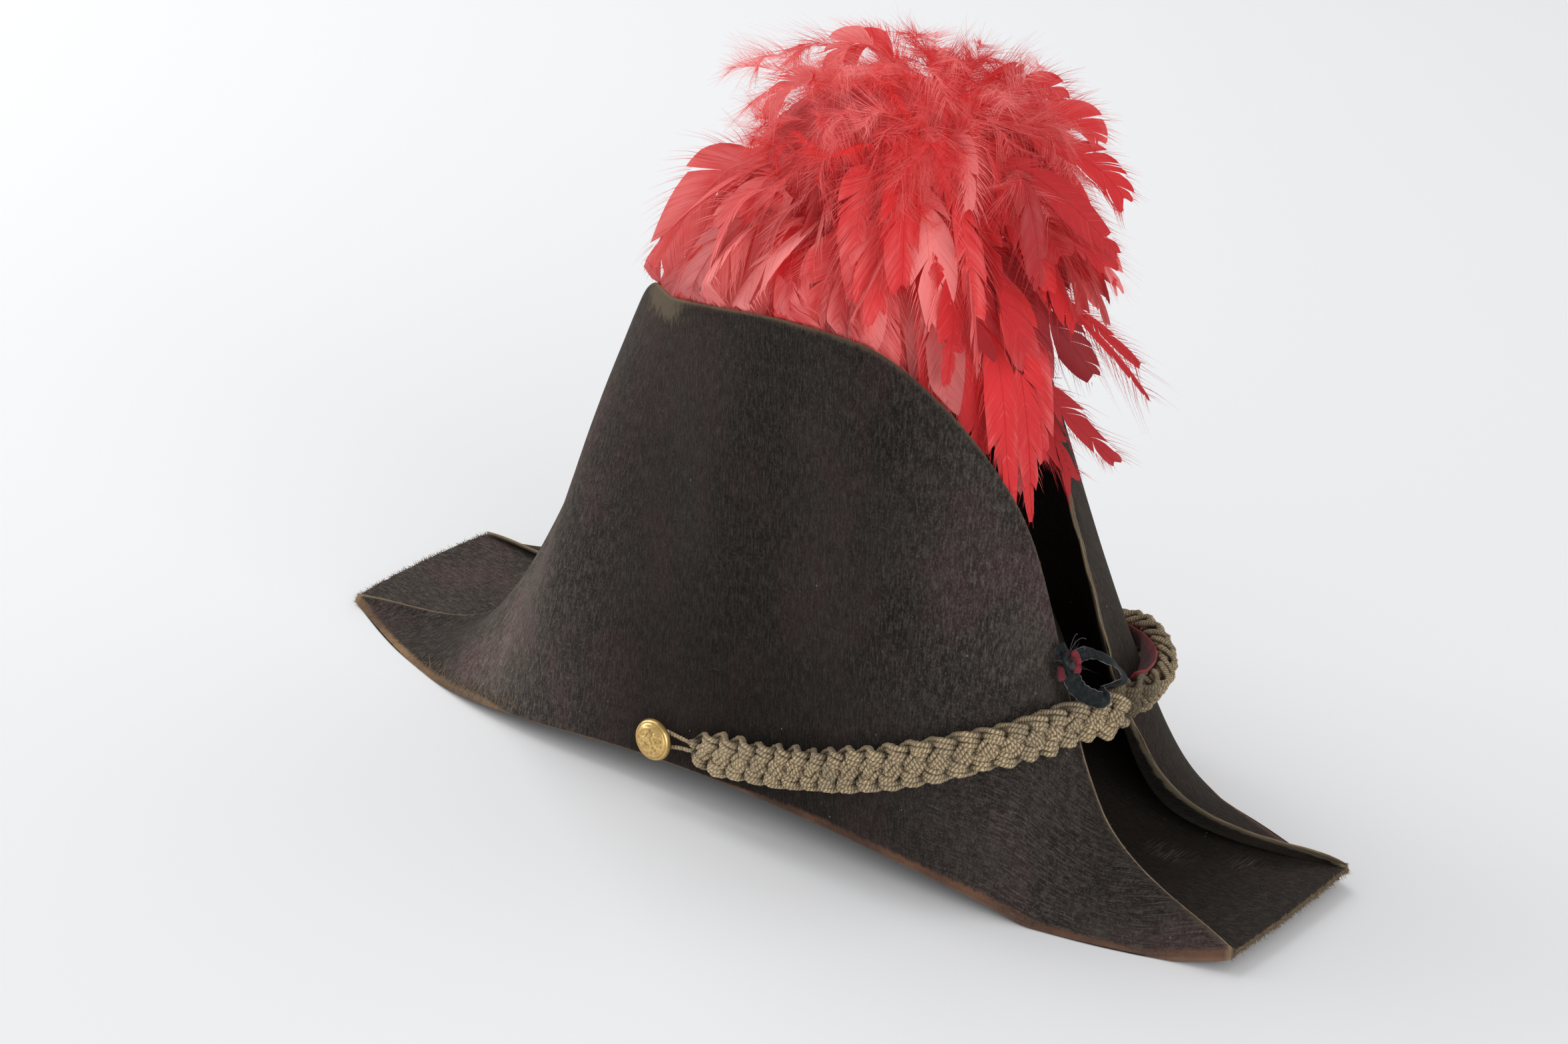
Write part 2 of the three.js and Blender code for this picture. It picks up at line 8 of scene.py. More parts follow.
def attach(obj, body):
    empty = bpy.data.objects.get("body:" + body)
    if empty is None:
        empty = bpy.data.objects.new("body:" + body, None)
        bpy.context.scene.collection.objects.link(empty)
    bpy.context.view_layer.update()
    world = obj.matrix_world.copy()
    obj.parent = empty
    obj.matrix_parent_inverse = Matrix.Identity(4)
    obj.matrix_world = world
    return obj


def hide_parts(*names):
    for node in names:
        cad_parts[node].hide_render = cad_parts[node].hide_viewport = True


# The hat is measured in millimetres, +X to its front, +Z up; meshes are scaled to metres.
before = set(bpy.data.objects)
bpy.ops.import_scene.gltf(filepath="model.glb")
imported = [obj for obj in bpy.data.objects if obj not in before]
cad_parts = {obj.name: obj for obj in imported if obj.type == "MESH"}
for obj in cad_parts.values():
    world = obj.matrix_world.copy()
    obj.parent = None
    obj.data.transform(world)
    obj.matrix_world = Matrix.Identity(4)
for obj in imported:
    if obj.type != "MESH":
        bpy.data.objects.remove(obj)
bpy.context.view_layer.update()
mm = 0.001
viewRight = np.array([0.775, 0.632, 0.0])  # directions as the camera sees the hat
viewUp = np.array([-0.34, 0.28, 0.90])
viewNear = np.array([0.57, -0.70, 0.44])
print("frame loaded:", len(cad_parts), "nodes")


# curves and small vector helpers

def unit(v):
    return v / np.maximum(np.linalg.norm(v, axis=-1, keepdims=True), 1e-9)


def dot(a, b):
    return (a * b).sum(-1, keepdims=True)


def ease(x, low, high):
    t = np.clip((x - low) / (high - low), 0, 1)
    return t * t * (3 - 2 * t)


def around(x, middle, wide):  # a soft bump of height 1
    return np.exp(-((x - middle) / wide)**2)


def turns(count):  # angles evenly round a circle
    return 2 * np.pi * np.arange(count) / count


def flatOval(count, power):  # round a flat strip's section: the shares across it and off its middle
    turn = turns(count)
    return np.sign(np.cos(turn)) * np.abs(np.cos(turn))**power, np.sin(turn)


def closeEnds(count):  # shares from 0 to 1, closer together at both ends
    return (1 - np.cos(np.pi * np.linspace(0, 1, count))) / 2


def runAlong(line):  # the length from a line's start to each of its points
    return np.concatenate([[0], np.cumsum(np.linalg.norm(np.diff(line, axis=0), axis=1))])


def pointAt(length, run, line):  # the point of a line at a length along it
    return np.stack([np.interp(length, run, line[:, k]) for k in range(3)], -1)


def cubic(b, c, before, after, w):  # from b to c, with the slopes at both
    square = 3 * c - 3 * b - 2 * before - after
    cube = 2 * b - 2 * c + before + after
    return b + before * w + square * w**2 + cube * w**3


def splineAt(points, shares):  # centripetal Catmull-Rom, the same curve as the solids use
    points = np.asarray(points, float)
    ends = np.vstack([2 * points[0] - points[1], points, 2 * points[-1] - points[-2]])
    place = np.clip(np.asarray(shares, float), 0, 1) * (len(points) - 1)
    k = np.minimum(place.astype(int), len(points) - 2)
    a, b, c, d = ends[k], ends[k + 1], ends[k + 2], ends[k + 3]
    gap = [np.maximum(np.sqrt(np.linalg.norm(q - p, axis=-1, keepdims=True)), 1e-4)
           for p, q in ((a, b), (b, c), (c, d))]
    before = ((b - a) / gap[0] - (c - a) / (gap[0] + gap[1]) + (c - b) / gap[1]) * gap[1]
    after = ((c - b) / gap[1] - (d - b) / (gap[1] + gap[2]) + (d - c) / gap[2]) * gap[1]
    return cubic(b, c, before, after, (place - k)[..., None])


def evenAt(values, shares):  # plain Catmull-Rom over evenly spaced values
    values = np.asarray(values, float)
    place = np.clip(np.asarray(shares, float), 0, 1) * (len(values) - 1)
    k = np.minimum(place.astype(int), len(values) - 2)
    a, b = values[np.maximum(k - 1, 0)], values[k]
    c, d = values[k + 1], values[np.minimum(k + 2, len(values) - 1)]
    return cubic(b, c, (c - a) / 2, (d - b) / 2, place - k)


def bezierAt(corners, t):
    t = np.asarray(t)[:, None]
    a, b, c, d = (np.asarray(p, float) for p in corners)
    return a * (1 - t)**3 + 3 * b * t * (1 - t)**2 + 3 * c * t**2 * (1 - t) + d * t**3


def lumps(points, size, seed=0.0):  # smooth noise from -1 to 1, one value for each point
    flat = np.asarray(points, float).reshape(-1, 3) / size + seed
    return np.array([noise.noise(Vector(p)) for p in flat]).reshape(np.shape(points)[:-1])


# mesh pieces from arrays

def gridQuads(rows, columns, ring=False):
    i, j = np.meshgrid(np.arange(rows - 1), np.arange(columns if ring else columns - 1), indexing="ij")
    k = (j + 1) % columns
    low, high = i * columns, (i + 1) * columns
    return np.stack([low + j, low + k, high + k, high + j], -1).reshape(-1, 4)


def fan(first, count, tip, way=1):  # triangles from a ring of points to one point
    return [[first + j, first + (j + 1) % count, tip][::way] for j in range(count)]


def cappedTube(rows, count):  # quads round a tube and a flat face at each end
    last = (rows - 1) * count
    return gridQuads(rows, count, True).tolist() + [list(range(count))[::-1], list(range(last, last + count))]


def strips(middles, halves):  # points and quads of thin strips, from middles and half widths at each step
    points = np.stack([np.stack([m - h, m + h], 1) for m, h in zip(middles, halves)], 1)
    count, steps = points.shape[:2]
    start = np.arange(count)[:, None] * 2 * steps
    return points, np.vstack([start + [2 * i, 2 * i + 1, 2 * i + 3, 2 * i + 2] for i in range(steps - 1)])


class Heap:  # points, faces and point values that become one mesh
    def __init__(self, *keys):
        self.keys = keys
        self.points, self.faces, self.values, self.count = [], [], {k: [] for k in keys}, 0

    def add(self, points, faces, **values):
        points = np.asarray(points, float).reshape(-1, 3)
        self.points.append(points)
        self.faces.extend((np.asarray(face) + self.count).tolist() for face in faces)
        for key in self.keys:
            value = np.asarray(values.get(key, 0.0), float)
            value = value.reshape(-1) if value.ndim else value
            self.values[key].append(np.array(np.broadcast_to(value, len(points))))
        self.count += len(points)

    def piece(self, name, material, slot, *nodes):
        mesh = bpy.data.meshes.new(name)
        points = np.vstack(self.points)
        points[:, 2] = np.maximum(points[:, 2], 0.0)  # nothing sinks into the floor
        mesh.from_pydata((points * mm).tolist(), [], self.faces)
        for key in self.keys:
            layer = mesh.attributes.new(key, "FLOAT", "POINT")
            layer.data.foreach_set("value", np.concatenate(self.values[key]).astype(np.float32))
        mesh.polygons.foreach_set("use_smooth", [True] * len(mesh.polygons))
        mesh.update()
        made = bpy.data.objects.new(name, mesh)
        bpy.context.scene.collection.objects.link(made)
        made.data.materials.append(material)
        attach(made, "root")
        if nodes:
            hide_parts(*nodes)
        print(name, "faces", len(self.faces))


def sweep(line, radius, sides, facing=None):  # a closed tube along points, with its quads and end fans
    line = np.asarray(line, float)
    count = len(line)
    along = unit(np.gradient(line, axis=0))
    if facing is None:
        out = np.zeros_like(line)
        start = np.array([0.3, 0.2, 1.0])
        for i in range(count):
            start = start - along[i] * (start @ along[i])
            start = start / max(np.linalg.norm(start), 1e-9)
            out[i] = start
    else:
        out = unit(facing - along * dot(facing, along))
    across = np.cross(along, out)
    angle = turns(sides)[None, :, None]
    radius = np.broadcast_to(np.asarray(radius, float), (count,))[:, None, None]
    ring = line[:, None] + radius * (np.cos(angle) * out[:, None] + np.sin(angle) * across[:, None])
    points = np.vstack([ring.reshape(-1, 3), line[:1], line[-1:]])
    tip = count * sides
    faces = gridQuads(count, sides, True).tolist() + fan(0, sides, tip, -1) + fan(tip - sides, sides, tip + 1)
    return points, faces


def hairs(heap, bases, ways, length, thick, rng, **values):  # fine loose fibres, each a thin bent strip
    count = len(bases)
    long = length * rng.uniform(0.4, 1.2, count)[:, None]
    bend = rng.normal(0, 0.5, (count, 3))
    side = unit(np.cross(ways, rng.normal(0, 1, (count, 3)))) * thick
    steps = (0.0, 0.5, 1.0)
    middles = [bases + ways * long * q + bend * long * q**2 * 0.7 for q in steps]
    points, quads = strips(middles, [side * (1.1 - q) for q in steps])
    heap.add(points, quads.tolist(), **values)


# shader building

class Wire:
    def __init__(self, paint, socket):
        self.paint, self.socket = paint, socket

    def worked(self, operation, first, second):
        return self.paint.node("ShaderNodeMath", {"operation": operation}, {0: first, 1: second})

    def __add__(self, other):
        return self.worked("ADD", self, other)

    def __radd__(self, other):
        return self.worked("ADD", other, self)

    def __sub__(self, other):
        return self.worked("SUBTRACT", self, other)

    def __rsub__(self, other):
        return self.worked("SUBTRACT", other, self)

    def __mul__(self, other):
        return self.worked("MULTIPLY", self, other)

    def __rmul__(self, other):
        return self.worked("MULTIPLY", other, self)


class Paint:
    def __init__(self, name, constants):
        self.material = bpy.data.materials.new(name)
        self.material.use_nodes = True
        self.tree = self.material.node_tree
        self.shader = self.tree.nodes["Principled BSDF"]
        for key, value in constants.items():
            self.shader.inputs[key].default_value = value

    def node(self, kind, settings, sockets, out=0):
        made = self.tree.nodes.new(kind)
        for key, value in settings.items():
            setattr(made, key, value)
        for key, value in sockets.items():
            self.feed(made.inputs[key], value)
        return Wire(self, made.outputs[out])

    def feed(self, socket, value):
        if isinstance(value, Wire):
            self.tree.links.new(value.socket, socket)
        else:
            socket.default_value = value

    def shade(self, **sockets):
        for key, value in sockets.items():
            self.feed(self.shader.inputs[key.replace("_", " ")], value)
        return self.material

    def values(self, *names):  # point values by name
        return [self.node("ShaderNodeAttribute", {"attribute_name": n}, {}, "Fac") for n in names]

    def place(self, *names):  # a vector from up to three point values
        return self.node("ShaderNodeCombineXYZ", {}, dict(enumerate(self.values(*names))))

    def object(self):
        return self.node("ShaderNodeTexCoord", {}, {}, "Object")

    def scaled(self, vector, by):
        return self.node("ShaderNodeVectorMath", {"operation": "MULTIPLY"}, {0: vector, 1: by})

    def sine(self, value):
        return self.node("ShaderNodeMath", {"operation": "SINE"}, {0: value})

    def grain(self, vector, scale, detail=2.0, rough=0.5):
        sockets = {"Vector": vector, "Scale": scale, "Detail": detail, "Roughness": rough}
        return self.node("ShaderNodeTexNoise", {}, sockets, "Fac")

    def cells(self, vector, scale):
        return self.node("ShaderNodeTexVoronoi", {}, {"Vector": vector, "Scale": scale}, "Distance")

    def bands(self, vector, way, scale, bent):
        sockets = {"Vector": vector, "Scale": scale, "Distortion": bent}
        return self.node("ShaderNodeTexWave", {"bands_direction": way}, sockets, "Fac")

    def fade(self, value, low, high):  # 0 at low to 1 at high, eased and clamped
        sockets = {0: value, 1: low, 2: high, 3: 0.0, 4: 1.0}
        return self.node("ShaderNodeMapRange", {"interpolation_type": "SMOOTHSTEP"}, sockets)

    def mix(self, factor, first, second):
        tint = [c if isinstance(c, Wire) else (*c, 1.0) for c in (first, second)]
        return self.node("ShaderNodeMix", {"data_type": "RGBA"}, {0: factor, 6: tint[0], 7: tint[1]}, 2)

    def coats(self, colour, *steps):  # each step is a factor and a colour, laid over what is there
        for factor, tint in steps:
            colour = self.mix(factor, colour, tint)
        return colour

    def bump(self, height, strength, distance):
        return self.node("ShaderNodeBump", {}, {"Height": height, "Strength": strength, "Distance": distance})


# the felt: flaps, brim and crown

felt = {
    "wall": 2.4, "leanIn": 0.35, "along": 210, "up": 84, "roundFold": 2.0, "roundRim": 0.75, "rimWall": 1.4,
    "thinning": 9, "wave": 0.3, "foldHalf": 232,
    "fold": [(-207.5, 39.0, 0.8), (-163.5, 57.5, -1.5), (-121.5, 69.0, 2.0), (-81.0, 72.0, 6.0),
             (-40.5, 70.5, 10.0), (0.0, 69.0, 12.0), (40.0, 69.0, 12.5), (78.0, 68.5, 11.0),
             (115.5, 64.0, 6.0), (159.0, 54.0, -2.0), (207.5, 37.5, 5.5)],
    "rim": [(-206.5, 37.8, 4.4), (-138.0, 28.0, 18.0), (-86.0, 19.5, 125.0), (-56.0, 31.5, 176.6),
            (-31.5, 47.5, 183.0), (-4.5, 52.5, 188.0), (25.0, 48.5, 189.0), (58.5, 38.5, 181.5),
            (96.5, 14.0, 129.5), (143.5, 19.5, 25.0), (206.5, 36.0, 9.0)],
    "hollow": [0, 4, 6, -8, 0, -1, 2, -3, -2, 14, 0],
}
crown = {"halfLength": 111, "halfWidth": 62, "height": 118, "fullness": 2.4, "around": 120, "rises": 36,
         "seam": 0.7, "napRound": 85, "napRise": 130, "napTop": 140}
fray = {"bristles": 260, "ends": 220, "rims": 420, "cuts": 2400, "thick": 0.05, "stiff": 0.13, "tuft": 0.11,
        "bristleLong": 4.2, "endLong": 1.1, "rimLong": 0.8, "seed": 20}
wear = {"corner": (-39, 14), "crease": (-102.5, 2.2), "peak": (160, 18), "frontShade": (100, 26),
        "middleShade": (14, 50)}  # where each mark lies along the hat, and how wide it is: corner and peak are wear, the crease is a painted highlight, the last two are painted shade in the hollows
feltKeys = ("run", "rise", "side", "fold", "rim", "raw", "lay", "worn", "scuff", "shade")
farOff = 60  # the distance to a fold or rim where none is near
frayValues = {"fold": farOff, "rim": farOff, "raw": 1, "shade": 1}
lastRow = len(felt["fold"]) - 1


def feltMaterial():
    paint = Paint("felt", {"Specular IOR Level": 0.08, "Sheen Weight": 0.12, "Sheen Roughness": 0.40,
                           "Sheen Tint": (0.92, 0.76, 0.62, 1.0)})
    nap = paint.place("run", "rise", "side")
    run, fold, rim, raw, lay, worn, scuff, shade = paint.values(
        "run", "fold", "rim", "raw", "lay", "worn", "scuff", "shade")

    def hair(along, up, detail=5.0, rough=0.75):  # noise drawn out along the fold or up the flap
        return paint.grain(paint.scaled(nap, (along, up, 1.0)), 1.0, detail, rough)

    streak = hair(1.1, 0.20) * (1 - lay) + hair(0.16, 1.3) * lay
    fibre = hair(1.5, 0.9)
    rub = hair(0.10, 2.0, 3.0, 0.6)
    scratch = paint.fade(hair(0.06, 0.9, 2.0, 0.5), 0.735, 0.76)
    wide = paint.scaled(nap, (1.0, 0.6, 1.0))
    mottle = paint.grain(wide, 0.42, 4.0, 0.65)
    rust = paint.grain(wide, 0.04, 3.0, 0.5)
    cloud = paint.grain(nap, 0.022, 4.0, 0.55)
    edgeNoise = paint.grain(paint.scaled(nap, (1.0, 0.5, 1.0)), 0.45, 4.0, 0.65) - 0.5
    patchy = paint.fade(paint.grain(nap, 0.03, 3.0, 0.5), 0.36, 0.62)
    foldWear = (1 - paint.fade(fold + edgeNoise * 4.2, 2.7, 4.6)) * (0.45 + patchy * 0.55)
    rimWear = (1 - paint.fade(rim + edgeNoise * 3.0, 0.2, 2.4)) * patchy
    thin = paint.fade(worn + (mottle - 0.5) * 1.2 + (streak - 0.5) * 1.4, 0.25, 0.85)
    speck = 1 - paint.fade(paint.cells(nap, 0.085), 0.012, 0.035)
    colour = paint.coats(
        paint.mix(paint.fade(cloud, 0.35, 0.7), (0.0085, 0.0074, 0.0068), (0.0170, 0.0142, 0.0122)),
        (paint.fade(rust, 0.46, 0.66) * 0.75, (0.0240, 0.0130, 0.0140)),
        (paint.fade(mottle, 0.47, 0.66) * 0.34, (0.046, 0.038, 0.033)),
        (paint.fade(mottle, 0.45, 0.32) * 0.40, (0.0050, 0.0042, 0.0040)),
        (paint.fade(streak, 0.46, 0.64) * 0.60, (0.054, 0.046, 0.040)),
        (paint.fade(fibre, 0.48, 0.34) * 0.65, (0.0040, 0.0034, 0.0032)),
        (paint.fade(fibre, 0.53, 0.66) * 0.50, (0.080, 0.068, 0.058)))
    band = paint.coats(  # the rubbed brown line along the fold
        paint.mix(paint.fade(run, -60.0, 60.0), (0.290, 0.175, 0.088), (0.170, 0.088, 0.056)),
        (paint.fade(cloud + edgeNoise * 0.6, 0.62, 0.34) * 0.6, (0.105, 0.052, 0.034)),
        (paint.fade(fold, 1.2, 0.2) * 0.35, (0.30, 0.20, 0.13)))
    # the base colour is multiplied by the shade value, which carries the painted light and shade of each
    # piece
    colour = paint.coats(
        paint.scaled(colour, shade),
        (foldWear, band),
        (rimWear * 0.65, (0.140, 0.105, 0.072)),
        (thin * 0.85, (0.155, 0.125, 0.082)),
        (scuff * paint.fade(rub, 0.50, 0.64), (0.26, 0.235, 0.21)),
        (raw * (0.40 + paint.fade(fibre, 0.35, 0.7) * 0.55), (0.38, 0.275, 0.17)),
        (speck * 0.8, (0.34, 0.32, 0.30)),
        (scratch * 0.35, (0.11, 0.10, 0.09)))
    height = (streak * 0.5 + fibre * 0.7 + mottle * 0.5) * (1 - foldWear * 0.8)
    return paint.shade(Base_Color=colour, Roughness=0.95 - foldWear * 0.25,
                       Normal=paint.bump(height, 0.8, 0.0008))


def flapPoint(u, v):
    fold = splineAt(felt["fold"], u)
    fold[..., 2] = np.maximum(0, fold[..., 2])
    rim = splineAt(felt["rim"], u)
    inward = unit(np.stack([-felt["leanIn"] * fold[..., 0], -fold[..., 1], 0 * fold[..., 0]], -1))
    middle = (fold + rim) / 2 + inward * 2 * evenAt(felt["hollow"], u)[..., None]
    v = np.asarray(v)[..., None]
    return fold * (1 - v)**2 + middle * 2 * v * (1 - v) + rim * v**2


def flapOut(u, v):
    step = 0.004
    along = flapPoint(np.minimum(1, u + step), v) - flapPoint(np.maximum(0, u - step), v)
    up = flapPoint(u, np.minimum(1, v + step)) - flapPoint(u, np.maximum(0, v - step))
    out = unit(np.cross(up, along))
    at = flapPoint(u, v)
    way = np.sign(at[..., :1] * felt["leanIn"] * out[..., :1] + at[..., 1:2] * out[..., 1:2])
    return out * np.where(way == 0, 1, way)


def onFlap(side, station, height, off):  # a spot at a height on a flap's outer face, and the way it faces
    u = station / lastRow
    v = np.linspace(0, 1, 401)
    v = np.interp(height, np.maximum.accumulate(flapPoint(u, v)[:, 2]), v)
    out = flapOut(u, v)
    mirror = np.array([1, side, 1])
    return (flapPoint(u, v) + off * out) * mirror, out * mirror


def flapColumns():  # the left flap's outer and inner faces by section, and the lengths up each section
    share = closeEnds(felt["up"] + 1)
    fine = np.linspace(0, 1, 241)
    outer, inner, rises, lengths = [], [], [], []
    for u in np.linspace(0, 1, felt["along"] + 1):
        run = runAlong(flapPoint(u, fine))
        rise = share * run[-1]
        v = np.interp(rise, run, fine)
        at, out = flapPoint(u, v), flapOut(u, v)
        foldRound = min(felt["roundFold"], run[-1] * 0.25)
        rimRound = min(felt["roundRim"], run[-1] * 0.2)
        low = np.clip(1 - rise / foldRound, 0, 1)
        top = np.clip(1 - (run[-1] - rise) / rimRound, 0, 1)
        thick = felt["rimWall"] + (felt["wall"] - felt["rimWall"]) * ease(run[-1] - rise, 0, felt["thinning"])
        rimCurve = felt["rimWall"] / 2 * (1 - np.sqrt(1 - top**2))
        outer.append(at - out * (foldRound * (1 - np.sqrt(1 - low**2)) + rimCurve)[:, None])
        back = at - out * (thick - rimCurve)[:, None]
        level = at[0, 2]  # the inner face starts at the fold's height
        start = max(1, int(np.argmax(back[:, 2] > level + 0.02)))
        before, after = back[start - 1], back[start]
        w = np.clip((level - before[2]) / max(after[2] - before[2], 1e-6), 0, 1)
        kept = np.vstack([before + (after - before) * w, back[start:]])
        kept[0, 2] = level
        length = runAlong(kept)
        inner.append(pointAt(share * length[-1], length, kept))
        rises.append(rise)
        lengths.append(run[-1])
    return np.array(outer), np.array(inner), np.array(rises), np.array(lengths)


outerFace, innerFace, faceRise, faceLength = flapColumns()


def endWays(front, rng):  # directions of loose fibres at the cut ends: 1 is the front, -1 the rear
    return unit(np.stack([front, 0 * front, 0.1 + 0 * front], -1) + rng.normal(0, 0.5, (len(front), 3)))


def flap(side, name, material):
    rows, columns = outerFace.shape[:2]
    mirror = np.array([1, side, 1])
    near = 1.0 if side < 0 else 0.0
    length = faceLength[:, None]
    face = outerFace * mirror
    wave = lumps(face, 42, 3.1) * felt["wave"] + lumps(face, 13, 7.7) * felt["wave"] * 0.3
    wave = wave * ease(faceRise, 1, 12)  # the fold and the tips keep their line
    loose = ease(faceRise - length, -9, 0) * ease(outerFace[..., 0], 60, 100) * (1.5 if side > 0 else 0.25)
    wave = (wave + lumps(face, 11, 9.4) * loose)[..., None] * unit(outerFace - innerFace)
    loop = np.concatenate([outerFace + wave, (innerFace + wave)[:, -2::-1]], 1) * mirror
    count = loop.shape[1]
    x, z = loop[..., 0], loop[..., 2]
    run = np.linspace(-felt["foldHalf"], felt["foldHalf"], rows)[:, None]  # length along the fold
    rise = np.concatenate([faceRise, faceRise[:, -2::-1]], 1)
    fromRim = rise - length  # 0 at the rim, below 0 down the wall
    inside = np.concatenate([np.zeros(columns), np.ones(columns - 1)])[None, :]
    outside = near * (1 - inside)  # the near flap's outer face
    cutEnd = np.isin(np.arange(rows), (0, rows - 1))[:, None]
    raw = (rise > length - 0.12) * 1.0 + cutEnd * 1.0  # pale cut felt
    raw = raw + 0.6 * (1 - ease(-fromRim, 0.2, 1.1)) * (1 - ease(x, 0, 60))
    bandWidth = 0.28 + 0.72 * (1 - ease(run, -132, -98)) + 0.75 * ease(run, -10, 70)
    # thin spots: the near flap's top corner, the far flap's front and rear rims, the near flap's rear rim
    worn = outside * np.minimum(1, 1.3 * around(x, *wear["corner"])) * ease(fromRim, -15, -2)
    farWorn = ease(fromRim, -4.5, -0.8) * ease(x, 60, 100) + ease(fromRim, -6, -1) * (1 - ease(x, -150, -110))
    worn = worn + (1 - near) * farWorn + near * ease(fromRim, -1.6, -0.3) * (1 - ease(x, -130, -100))
    # the crease is shown by a painted highlight, in the brightness below and a little in the scuff colour
    crease = outside * around(x, *wear["crease"]) * ease(z, 15, 23) * (1 - ease(z, 34, 46))
    scuff = outside * (0.30 * ease(fromRim, -12, -1) * around(x, *wear["peak"]) + 0.25 * crease)
    # painted light and shade: the near flap is painted lighter at the rear, the front and high up where the
    # lamps fall, darker in the hollows low down, and lighter along the crease as a painted highlight; the
    # insides and the far flap are painted darker
    rear = (1 - ease(x, -120, -25)) * (0.25 + 0.75 * ease(x, -150, -105))
    dipShade = 0.6 * around(x, *wear["frontShade"]) * (1 - ease(z, 20, 80))
    dipShade = dipShade + 0.5 * around(x, *wear["middleShade"]) * (1 - ease(z, 40, 110))
    tone = 1.25 + 0.2 * ease(z, 120, 170) + 3.8 * rear + 1.3 * ease(x, 55, 110) - dipShade + 1.2 * crease
    shade = np.where(inside > 0, 0.35, near * tone + (1 - near) * 0.85)
    faces = gridQuads(rows, count, True)[:, ::-side].tolist()
    for j in range(columns - 1):  # the two cut ends
        k = count - 1 - j
        corners = [j, j + 1, k - 1, k] if j < columns - 2 else [j, j + 1, k]
        for first, way in ((0, side), ((rows - 1) * count, -side)):
            faces.append([first + corner for corner in corners][::way])
    full = np.ones((rows, count))
    heap = Heap(*feltKeys)
    heap.add(loop, faces, run=run * full, rise=rise, side=(inside * 300 + side * 40) * full,
             fold=rise / bandWidth + inside * farOff, rim=inside * 1.5 - fromRim, raw=np.minimum(raw, 1),
             lay=ease(x, 60, 130) * (1 - ease(rise, 40, 90)), worn=worn, scuff=scuff, shade=shade)
    rng = np.random.default_rng(fray["seed"] + side)
    i = rng.integers(24, 62, fray["bristles"])
    j = np.array([np.argmin(np.abs(faceRise[a] - r)) for a, r in zip(i, rng.uniform(2.8, 5.0, len(i)))])
    ways = unit(unit(outerFace[i, j + 1] - outerFace[i, j]) * mirror + rng.normal(0, 0.45, (len(i), 3)))
    hairs(heap, face[i, j], ways, fray["bristleLong"], fray["stiff"], rng, **frayValues)
    i = rng.integers(0, 2, fray["ends"]) * (rows - 1)
    ways = endWays(np.where(i > 0, 1.0, -1.0), rng)
    bases = loop[i, rng.integers(0, count, len(i))]
    hairs(heap, bases, ways, fray["endLong"], fray["thick"], rng, **frayValues)
    i = rng.integers(4, rows - 4, fray["rims"])
    ways = unit(unit(outerFace[i, -1] - outerFace[i, -8]) * mirror + rng.normal(0, 0.6, (len(i), 3)))
    hairs(heap, loop[i, columns - 1], ways, fray["rimLong"], fray["thick"], rng, **frayValues)
    heap.piece(name, material, "felt", "left_flap" if side > 0 else "right_flap")


brim = {"rings": 26, "gap": 0.12, "endSteps": 60, "bulgeFront": 0.8, "bulgeRear": 2.2, "jag": 0.6,
        "jagSize": 2.6, "inset": 0.3, "turnUp": 0.5, "cutFrom": 207.0, "frayLong": 1.5, "seed": 31}


def brimLevel(x):
    line = splineAt(felt["fold"], np.linspace(0, 1, 401))
    return np.maximum(0, np.interp(x, line[:, 0], line[:, 2]))


def brimEdge(rise):  # the inside of the flaps at a height over the fold, all the way round
    left = []
    for column in innerFace[::2]:
        over = column[:, 2] - brimLevel(column[:, 0]) - rise
        k = int(np.argmax(over >= 0)) or 1
        w = np.clip(over[k - 1] / (over[k - 1] - over[k]) if over[k - 1] != over[k] else 0, 0, 1)
        left.append(column[k - 1] + (column[k] - column[k - 1]) * w)
    left = np.array(left)[:, :2]
    step = np.gradient(left, axis=0)
    left = left + unit(np.stack([step[:, 1], -step[:, 0]], -1)) * brim["gap"]
    left[0, 0], left[-1, 0] = felt["fold"][0][0] + brim["inset"], felt["fold"][-1][0] - brim["inset"]
    right = (left * [1, -1])[::-1]
    w = (np.arange(brim["endSteps"]) + 1) / (brim["endSteps"] + 1)
    ends = []
    for a, b, bulge in ((left[-1], right[0], brim["bulgeFront"]), (right[-1], left[0], -brim["bulgeRear"])):
        cut = a + (b - a) * w[:, None]
        jag = lumps(np.stack([cut[:, 1], 0 * w, 0 * w], -1), brim["jagSize"], bulge) * brim["jag"]
        cut[:, 0] += bulge * 4 * (w * (1 - w)) + jag * np.sin(np.pi * w)**0.3
        ends.append(cut)
    return np.vstack([left, ends[0], right, ends[1]])


